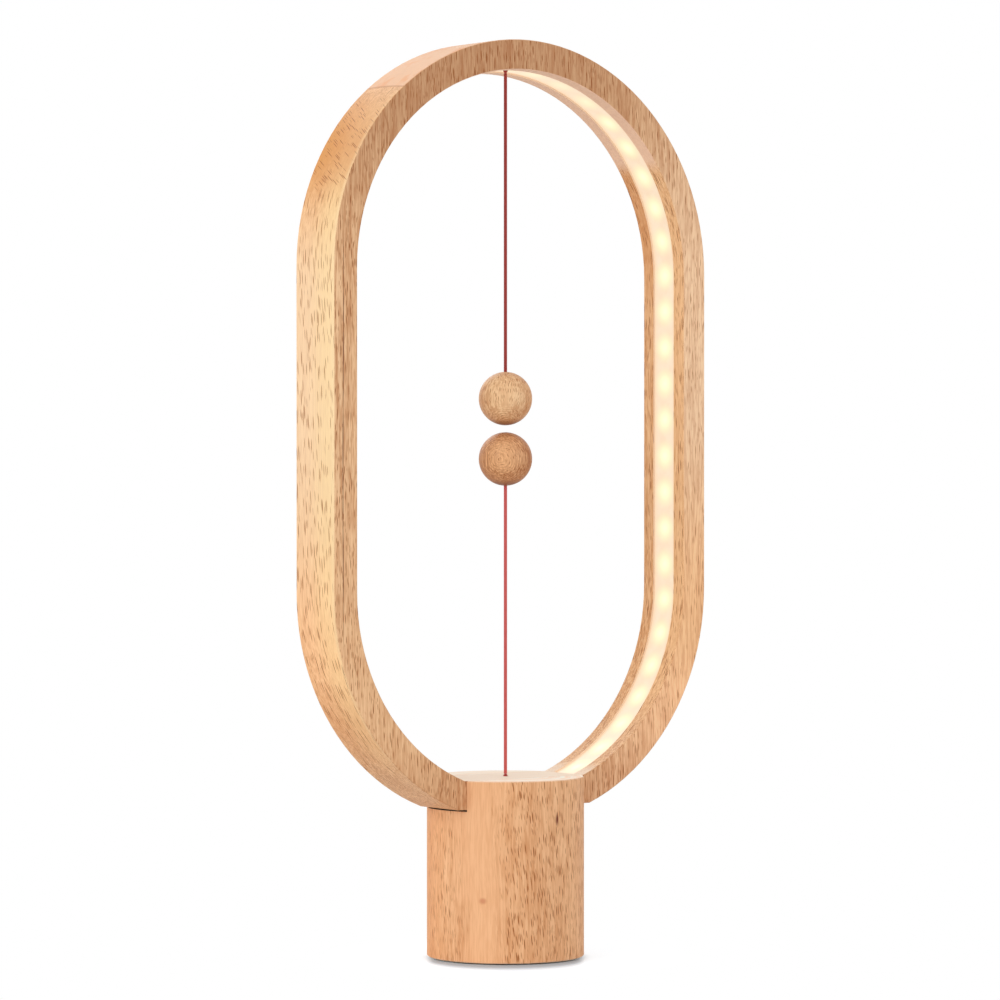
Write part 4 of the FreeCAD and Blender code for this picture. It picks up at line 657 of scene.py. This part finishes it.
def make_plain(
    name, pale, deep, roughness, metallic=0.0, scale=(900, 900, 900), bump=0.02 * MM, worn=None
):
    """A finish with grain, wear and an uneven gloss, for metal, plastic and rubber."""
    material, tree, surface, point = new_shader(name)
    grain = noise(tree, placed(tree, point, scale), detail=4.0, roughness=0.6)
    cloud = noise(tree, placed(tree, point, (120, 120, 120)), detail=3.0)
    tone = calc(tree, "ADD", product(tree, grain, 0.6), product(tree, cloud, 0.4))
    colour = blend(tree, spread(tree, tone, 0.35, 0.65), deep, pale)
    edges = add(tree, "ShaderNodeNewGeometry").outputs["Pointiness"]
    colour = tint(tree, colour, spread(tree, edges, 0.52, 0.62), 0.35, worn or pale)
    feed(tree, surface.inputs["Base Color"], colour)
    surface.inputs["Metallic"].default_value = metallic
    gloss = spread(tree, tone, 0.3, 0.7, roughness - 0.07, roughness + 0.1)
    feed(tree, surface.inputs["Roughness"], gloss)
    raise_by(tree, surface, grain, bump, 0.5)
    return material


def make_board_finish():
    """Green solder mask over thin copper tracks."""
    material, tree, surface, point = new_shader("solder_mask")
    tracks = add(tree, "ShaderNodeTexBrick", {
        "Vector": placed(tree, point, turn=(0, 0, 0.6)), "Scale": 180.0, "Mortar Size": 0.05,
        "Mortar Smooth": 0.2, "Color1": BLACK, "Color2": BLACK, "Mortar": WHITE,
    }).outputs["Fac"]
    cloud = noise(tree, placed(tree, point, (400, 400, 400)), detail=4.0)
    mask = blend(tree, cloud, paint(18, 74, 42), paint(28, 96, 56))
    colour = tint(tree, mask, tracks, 0.5, paint(66, 140, 84))
    feed(tree, surface.inputs["Base Color"], colour)
    feed(tree, surface.inputs["Roughness"], spread(tree, cloud, 0.3, 0.7, 0.25, 0.4))
    raise_by(tree, surface, tracks, 0.04 * MM, 0.5)
    return material


def yarn_fuzz(tree, surface, point):
    """A fuzz of fine fibres, which makes the yarn matt."""
    fuzz = noise(tree, placed(tree, point, (5200, 5200, 2600)), detail=3.0, roughness=0.7)
    feed(tree, surface.inputs["Roughness"], spread(tree, fuzz, 0.3, 0.7, 0.7, 0.9))
    return fuzz


def make_cord_finish(name, deep, pale, fibre):
    """Red braid with painted shade in the grooves between strands, which takes its weave from the
    cord's own strands.
    """
    material, tree, surface, point = new_shader(name)
    strand = add(tree, "ShaderNodeAttribute", attribute_name="strand").outputs["Fac"]
    fuzz = yarn_fuzz(tree, surface, point)
    # Painted shade: the grooves between the strands are a deeper red.
    colour = blend(tree, spread(tree, strand, 0.1, 0.9), deep, pale)
    colour = tint(tree, colour, spread(tree, fuzz, 0.4, 0.75), 0.3, fibre)
    feed(tree, surface.inputs["Base Color"], colour)
    surface.inputs["Sheen Weight"].default_value = 0.3
    raise_by(tree, surface, fuzz, 0.03 * MM, 0.5)
    return material


def make_bend_finish():
    """The same braid where a cord bends at its exit, woven in the object's own height and angle."""
    material, tree, surface, point = new_shader("red_braid_bend")
    x, y, z = parts_of(tree, point)[:3]
    turn = product(tree, calc(tree, "ARCTAN2", y, x), STRANDS)
    rise = product(tree, z, 2 * math.pi * STRANDS / CORD_LAY)
    one_way = calc(tree, "SINE", calc(tree, "ADD", turn, rise))
    other_way = calc(tree, "SINE", calc(tree, "SUBTRACT", turn, rise))
    weave = product(tree, one_way, other_way)
    fuzz = yarn_fuzz(tree, surface, point)
    # Painted shade: the grooves between the strands are a deeper red.
    colour = blend(tree, spread(tree, weave, -0.8, 0.8), paint(116, 26, 24), paint(192, 52, 44))
    colour = tint(tree, colour, fuzz, 0.3, paint(214, 96, 84))
    feed(tree, surface.inputs["Base Color"], colour)
    raise_by(tree, surface, weave, 0.08 * MM, 0.6)
    return material


# ---------------------------------------------------------------- cords

CORD_RADIUS = 0.75 * MM

# The braid: its strands each way, and the length in which a strand goes round once.
STRANDS = 4.0
CORD_LAY = 4.4 * MM

# Each cord's exit, middle and far end, in metres.
UPPER_CORD = ((0, 0, 0.38643), (0, 0, 0.3168), (0, 0, 0.2472))
LOWER_CORD = ((0, 0, 0.07997), (0, 0, 0.14738), (0, 0, 0.2148))


def cord_line(name, points):
    """The cord's middle line as a NURBS curve object."""
    curve = bpy.data.curves.new(name, "CURVE")
    curve.dimensions = "3D"
    spline = curve.splines.new("NURBS")
    spline.points.add(len(points) - 1)
    for item, place in zip(spline.points, points):
        item.co = (*place, 1)
    spline.order_u = 3
    spline.use_endpoint_u = True
    line = bpy.data.objects.new(name, curve)
    bpy.context.scene.collection.objects.link(line)
    return line


def line_points(line):
    """The points of a curve as Blender works them out."""
    graph = bpy.context.evaluated_depsgraph_get()
    mesh = bpy.data.meshes.new_from_object(line.evaluated_get(graph))
    points = [tuple(vertex.co) for vertex in mesh.vertices]
    bpy.data.meshes.remove(mesh)
    return points


def socket_in(tree, name, kind, value):
    """An input of the tree, by the name that it has inside the tree."""
    item = tree.interface.new_socket(name, in_out="INPUT", socket_type=kind)
    if value is not None:
        item.default_value = value
    return item.identifier


def braid_inputs(tree):
    """What can be set on a braid; returns the two inputs that each cord sets."""
    tree.interface.new_socket("Geometry", in_out="OUTPUT", socket_type="NodeSocketGeometry")
    tree.interface.new_socket("Geometry", in_out="INPUT", socket_type="NodeSocketGeometry")
    radius = socket_in(tree, "Cord radius", "NodeSocketFloat", CORD_RADIUS)
    socket_in(tree, "Step along", "NodeSocketFloat", 0.2 * MM)
    socket_in(tree, "Sides round", "NodeSocketInt", 32)
    socket_in(tree, "Strands each way", "NodeSocketFloat", STRANDS)
    socket_in(tree, "Lay length", "NodeSocketFloat", CORD_LAY)
    socket_in(tree, "Strand depth", "NodeSocketFloat", 0.11 * MM)
    finish = socket_in(tree, "Finish", "NodeSocketMaterial", None)
    return {"radius": radius, "finish": finish}


def stored(tree, geometry, name, value):
    """The geometry with a number kept on each of its points, under a name."""
    return add(tree, "GeometryNodeStoreNamedAttribute", {
        "Geometry": geometry, "Name": name, "Value": value,
    }, data_type="FLOAT", domain="POINT").outputs[0]


def recalled(tree, name):
    """The number that was kept under a name."""
    kind = "GeometryNodeInputNamedAttribute"
    return add(tree, kind, {"Name": name}, data_type="FLOAT").outputs[0]


def bare_tube(tree, given):
    """A round tube that knows its length along the cord and its share of a turn."""
    fine = add(
        tree, "GeometryNodeResampleCurve", {"Curve": given[0], "Length": given["Step along"]},
        mode="LENGTH",
    ).outputs[0]
    length = add(tree, "GeometryNodeSplineParameter").outputs["Length"]
    ring = add(tree, "GeometryNodeCurvePrimitiveCircle", {
        "Resolution": given["Sides round"], "Radius": given["Cord radius"],
    }).outputs[0]
    share = add(tree, "GeometryNodeSplineParameter").outputs["Factor"]
    return add(tree, "GeometryNodeCurveToMesh", {
        "Curve": stored(tree, fine, "along", length),
        "Profile Curve": stored(tree, ring, "around", share),
        "Fill Caps": True,
    }).outputs[0]


def strand_height(tree, given):
    """1 on the back of a strand and 0 between strands, for strands that run both ways."""
    strands = given["Strands each way"]
    turn = product(tree, recalled(tree, "around"), strands, 2 * math.pi)
    rise = calc(tree, "DIVIDE", recalled(tree, "along"), given["Lay length"])
    rise = product(tree, rise, strands, 2 * math.pi)
    one_way = calc(tree, "SINE", calc(tree, "ADD", turn, rise))
    other_way = calc(tree, "SINE", calc(tree, "SUBTRACT", turn, rise))
    high = calc(tree, "MAXIMUM", one_way, other_way)
    return calc(tree, "MULTIPLY", calc(tree, "ADD", high, 0.3), 1 / 1.3, clamp=True)


def braid_tree():
    """Geometry nodes: a curve becomes a braided round tube with closed ends."""
    tree = bpy.data.node_groups.new("braided_cord", "GeometryNodeTree")
    names = braid_inputs(tree)
    given = tree.nodes.new("NodeGroupInput").outputs
    tube = bare_tube(tree, given)
    strand = strand_height(tree, given)
    sink = product(tree, calc(tree, "SUBTRACT", strand, 1.0), given["Strand depth"])
    normal = tree.nodes.new("GeometryNodeInputNormal").outputs[0]
    offset = vector_calc(tree, "SCALE", normal, scale=sink)
    shaped = add(tree, "GeometryNodeSetPosition", {"Geometry": tube, "Offset": offset}).outputs[0]
    real = add(tree, "GeometryNodeRealizeInstances", {0: stored(tree, shaped, "strand", strand)})
    finished = add(tree, "GeometryNodeSetMaterial", {
        "Geometry": real.outputs[0], "Material": given["Finish"],
    })
    out = tree.nodes.new("NodeGroupOutput")
    tree.links.new(finished.outputs[0], out.inputs[0])
    return tree, names


def make_cord(name, points, tree, names, finish):
    """A braided cord as one closed mesh, and the points that it follows."""
    line = cord_line(name + "_line", points)
    path = line_points(line)
    maker = line.modifiers.new("braid", "NODES")
    maker.node_group = tree
    maker[names["finish"]] = finish
    maker[names["radius"]] = CORD_RADIUS
    graph = bpy.context.evaluated_depsgraph_get()
    graph.update()
    mesh = bpy.data.meshes.new_from_object(line.evaluated_get(graph))
    mesh.name = name
    for face in mesh.polygons:
        face.use_smooth = True
    cord = bpy.data.objects.new(name, mesh)
    bpy.context.scene.collection.objects.link(cord)
    bpy.data.objects.remove(line)
    return cord, path


def make_cords():
    tree, names = braid_tree()
    red = make_cord_finish("red_braid", paint(104, 20, 18), paint(176, 46, 40), paint(206, 92, 80))
    upper, upper_path = make_cord("upper_braided_cord", UPPER_CORD, tree, names, red)
    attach(upper, "upper_pendulum")
    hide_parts("upper_cord")
    faded = make_cord_finish(
        "faded_braid", paint(172, 48, 48), paint(226, 96, 94), paint(238, 142, 136)
    )
    lower, lower_path = make_cord("lower_braided_cord", LOWER_CORD, tree, names, faded)
    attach(lower, "lower_line")
    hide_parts("lower_cord")
    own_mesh(lower)


# ---------------------------------------------------------------- finishes on the parts


def coat(names, material):
    """Gives the named parts one finish in all their slots."""
    for name in names.split():
        target = nodes[name]
        if not target.material_slots:
            target.data.materials.append(material)
        for slot in target.material_slots:
            slot.material = material


def coat_plain(names, finish, pale, deep, roughness, **more):
    """Gives the named parts a plain finish of two 8 bit screen colours."""
    coat(names, make_plain(finish, paint(*pale), paint(*deep), roughness, **more))


def coat_wood():
    coat("loop_frame", make_loop_wood())
    coat("base_body", make_base_wood())
    upper = make_ball_wood(
        "upper_ball_beech", UPPER_BALL, pole=(-0.28, -0.38, -0.88), ringed=(0.011, 0.007),
        pale=paint(255, 214, 166), deep=paint(200, 136, 88),
    )
    coat("upper_ball upper_plug", upper)
    lower = make_ball_wood(
        "lower_ball_beech", LOWER_BALL, pole=(-0.756, -0.654, 0.0), ringed=(0.030, 0.020),
        pale=paint(252, 196, 144), deep=paint(170, 102, 58),
    )
    coat("lower_ball lower_plug", lower)


def coat_lighting():
    coat("diffuser_strip", make_diffuser())
    coat_plain("led_tape", "flexible_tape", (240, 238, 230), (222, 220, 210), 0.5)
    coat_plain("leds", "led_lens", (250, 226, 140), (240, 206, 110), 0.35)
    coat_plain("led_leads switch_leads", "wire_sheath", (196, 40, 34), (160, 28, 26), 0.45)


def coat_cord_ends():
    ends = "upper_cord_bend lower_cord_bend lower_cord_inner upper_knot lower_knot"
    coat(ends, make_bend_finish())


def coat_metal():
    """Each metal shows the marks of how it was made: turned, rolled, milled or drawn."""
    coat_plain(
        "upper_cord_anchor cord_guide cord_bead switch_terminals", "turned_brass",
        (214, 178, 104), (184, 146, 78), 0.3, metallic=1.0, scale=(300, 300, 4000),
    )
    coat_plain(
        "loop_screws cover_screws ballast_screw board_screws bracket_screws switch_screws "
        "switch_nuts switch_lever lever_pin switch_bracket usb_shell", "zinc_plate",
        (206, 208, 212), (160, 164, 170), 0.32, metallic=1.0, scale=(1500, 1500, 300),
    )
    coat_plain(
        "ballast_disc", "milled_steel",
        (150, 152, 156), (112, 114, 120), 0.42, metallic=1.0, scale=(200, 2600, 200),
    )
    coat_plain(
        "capacitor", "can",
        (196, 198, 202), (150, 154, 160), 0.35, metallic=1.0, scale=(300, 300, 2500),
    )
    coat_plain(
        "upper_magnet lower_magnet", "nickel",
        (212, 208, 200), (176, 172, 164), 0.22, metallic=1.0,
    )


def coat_plastic():
    """Moulded parts, the foam foot, and the board with what is soldered to it."""
    coat_plain(
        "switch_case usb_tongue bottom_cover board_standoffs", "black_plastic",
        (44, 44, 46), (26, 26, 28), 0.5, worn=paint(80, 80, 82),
    )
    coat_plain("inlet_sleeve", "grey_plastic", (150, 150, 150), (126, 126, 128), 0.5)
    coat_plain(
        "wire_headers wire_plugs switch_plunger", "white_plastic",
        (238, 236, 228), (222, 220, 210), 0.45,
    )
    coat_plain(
        "foot_pad", "foam_rubber",
        (70, 68, 66), (40, 39, 38), 0.85, scale=(1800, 1800, 1800), bump=0.1 * MM,
    )
    coat("control_board", make_board_finish())
    coat_plain("driver_chip", "chip_resin", (46, 46, 48), (30, 30, 32), 0.6)
    coat_plain("inductor", "ferrite", (84, 84, 88), (58, 58, 62), 0.65)


def coat_parts():
    coat_wood()
    coat_lighting()
    coat_cord_ends()
    coat_metal()
    coat_plastic()


# ---------------------------------------------------------------- light and floor

FLOOR_HALF_WIDTH = 3.0

# The shade in front of the base: which way it lies, its colour, its depth and how it falls off.
SHADE_TURN = math.radians(-36)
SHADE_COLOUR = (1.36, 1.50, 1.63)
SHADE_DEPTH = 0.62
SHADE_FALL = 1.7


def make_world():
    """White wherever it is seen, and a softer sky as light."""
    world = bpy.data.worlds.new("white_room")
    bpy.context.scene.world = world
    world.use_nodes = True
    tree = world.node_tree
    tree.nodes.clear()
    path = add(tree, "ShaderNodeLightPath").outputs
    seen = calc(tree, "MAXIMUM", path["Is Camera Ray"], path["Is Glossy Ray"])
    seen = calc(tree, "MAXIMUM", seen, path["Is Transmission Ray"])
    soft = add(tree, "ShaderNodeBackground", {"Color": WHITE, "Strength": 0.62})
    white = add(tree, "ShaderNodeBackground", {"Color": WHITE, "Strength": 1.0})
    mixed = add(tree, "ShaderNodeMixShader", {0: seen, 1: soft.outputs[0], 2: white.outputs[0]})
    add(tree, "ShaderNodeOutputWorld", {0: mixed.outputs[0]})


def floor_shade(tree, across, ahead):
    """How dark the floor is: darkest at the base's front rim, and white again 31 mm further."""
    rim = calc(tree, "SUBTRACT", BASE_RADIUS ** 2, product(tree, across, across))
    rim = calc(tree, "SQRT", calc(tree, "MAXIMUM", rim, 0.0))
    beyond = calc(tree, "SUBTRACT", product(tree, ahead, -1.0), rim)
    beside = unsigned(tree, across)
    dark = product(
        tree, spread(tree, beyond, 31 * MM, 4 * MM), spread(tree, beyond, -12 * MM, 0.0),
        spread(tree, beside, BASE_RADIUS + 6 * MM, BASE_RADIUS - 3 * MM),
    )
    return product(tree, calc(tree, "POWER", dark, SHADE_FALL), SHADE_DEPTH)


def make_floor_finish():
    """Matt white for the lamp's light; the eye sees shade near the base and pure white beyond."""
    material, tree, surface, point = new_shader("white_floor")
    tree.nodes.remove(surface)
    matt = add(tree, "ShaderNodeBsdfDiffuse", {"Color": (0.8, 0.8, 0.8, 1)})
    across, ahead = parts_of(tree, placed(tree, point, turn=(0, 0, SHADE_TURN)))[:2]
    light = inverse(tree, floor_shade(tree, across, ahead))
    shade = vector_calc(tree, "SCALE", SHADE_COLOUR, scale=light)
    close = add(tree, "ShaderNodeBsdfDiffuse", {"Color": shade})
    distant = add(tree, "ShaderNodeEmission", {"Color": WHITE, "Strength": 1.0})
    away = spread(tree, vector_calc(tree, "LENGTH", point), 46 * MM, 82 * MM)
    beside = unsigned(tree, across)
    beside = spread(tree, beside, BASE_RADIUS - 5 * MM, BASE_RADIUS + 4 * MM, 0.0, 0.8)
    share = calc(tree, "MAXIMUM", away, beside)
    seen = add(tree, "ShaderNodeMixShader", {0: share, 1: close.outputs[0], 2: distant.outputs[0]})
    eye = add(tree, "ShaderNodeLightPath").outputs["Is Camera Ray"]
    mixed = add(tree, "ShaderNodeMixShader", {0: eye, 1: matt.outputs[0], 2: seen.outputs[0]})
    tree.links.new(mixed.outputs[0], tree.nodes["Material Output"].inputs["Surface"])
    return material


def make_floor():
    mesh = bpy.data.meshes.new("floor")
    half = FLOOR_HALF_WIDTH
    corners = [(-half, -half, 0), (half, -half, 0), (half, half, 0), (-half, half, 0)]
    mesh.from_pydata(corners, [], [(0, 1, 2, 3)])
    floor = bpy.data.objects.new("floor", mesh)
    bpy.context.scene.collection.objects.link(floor)
    mesh.materials.append(make_floor_finish())


def make_lamp_light(name, place, aim, width, power):
    """A wide soft panel that isn't seen itself."""
    data = bpy.data.lights.new(name, "AREA")
    data.shape = "SQUARE"
    data.size = width
    data.energy = power
    panel = bpy.data.objects.new(name, data)
    panel.location = place
    panel.rotation_euler = (Vector(aim) - Vector(place)).to_track_quat("-Z", "Y").to_euler()
    panel.visible_camera = False
    bpy.context.scene.collection.objects.link(panel)


def make_lights():
    middle = (0, 0, 0.2)
    make_lamp_light("left_panel", (-2.6, -0.2, 1.3), middle, width=1.6, power=30)
    make_lamp_light("front_panel", (0.9, -2.6, 0.9), middle, width=1.8, power=14)
    make_lamp_light("back_panel", (0.4, 2.4, 1.5), middle, width=1.8, power=14)


make_camera()
make_cords()
coat_parts()
make_world()
make_floor()
make_lights()
bpy.context.scene.view_settings.view_transform = "Standard"
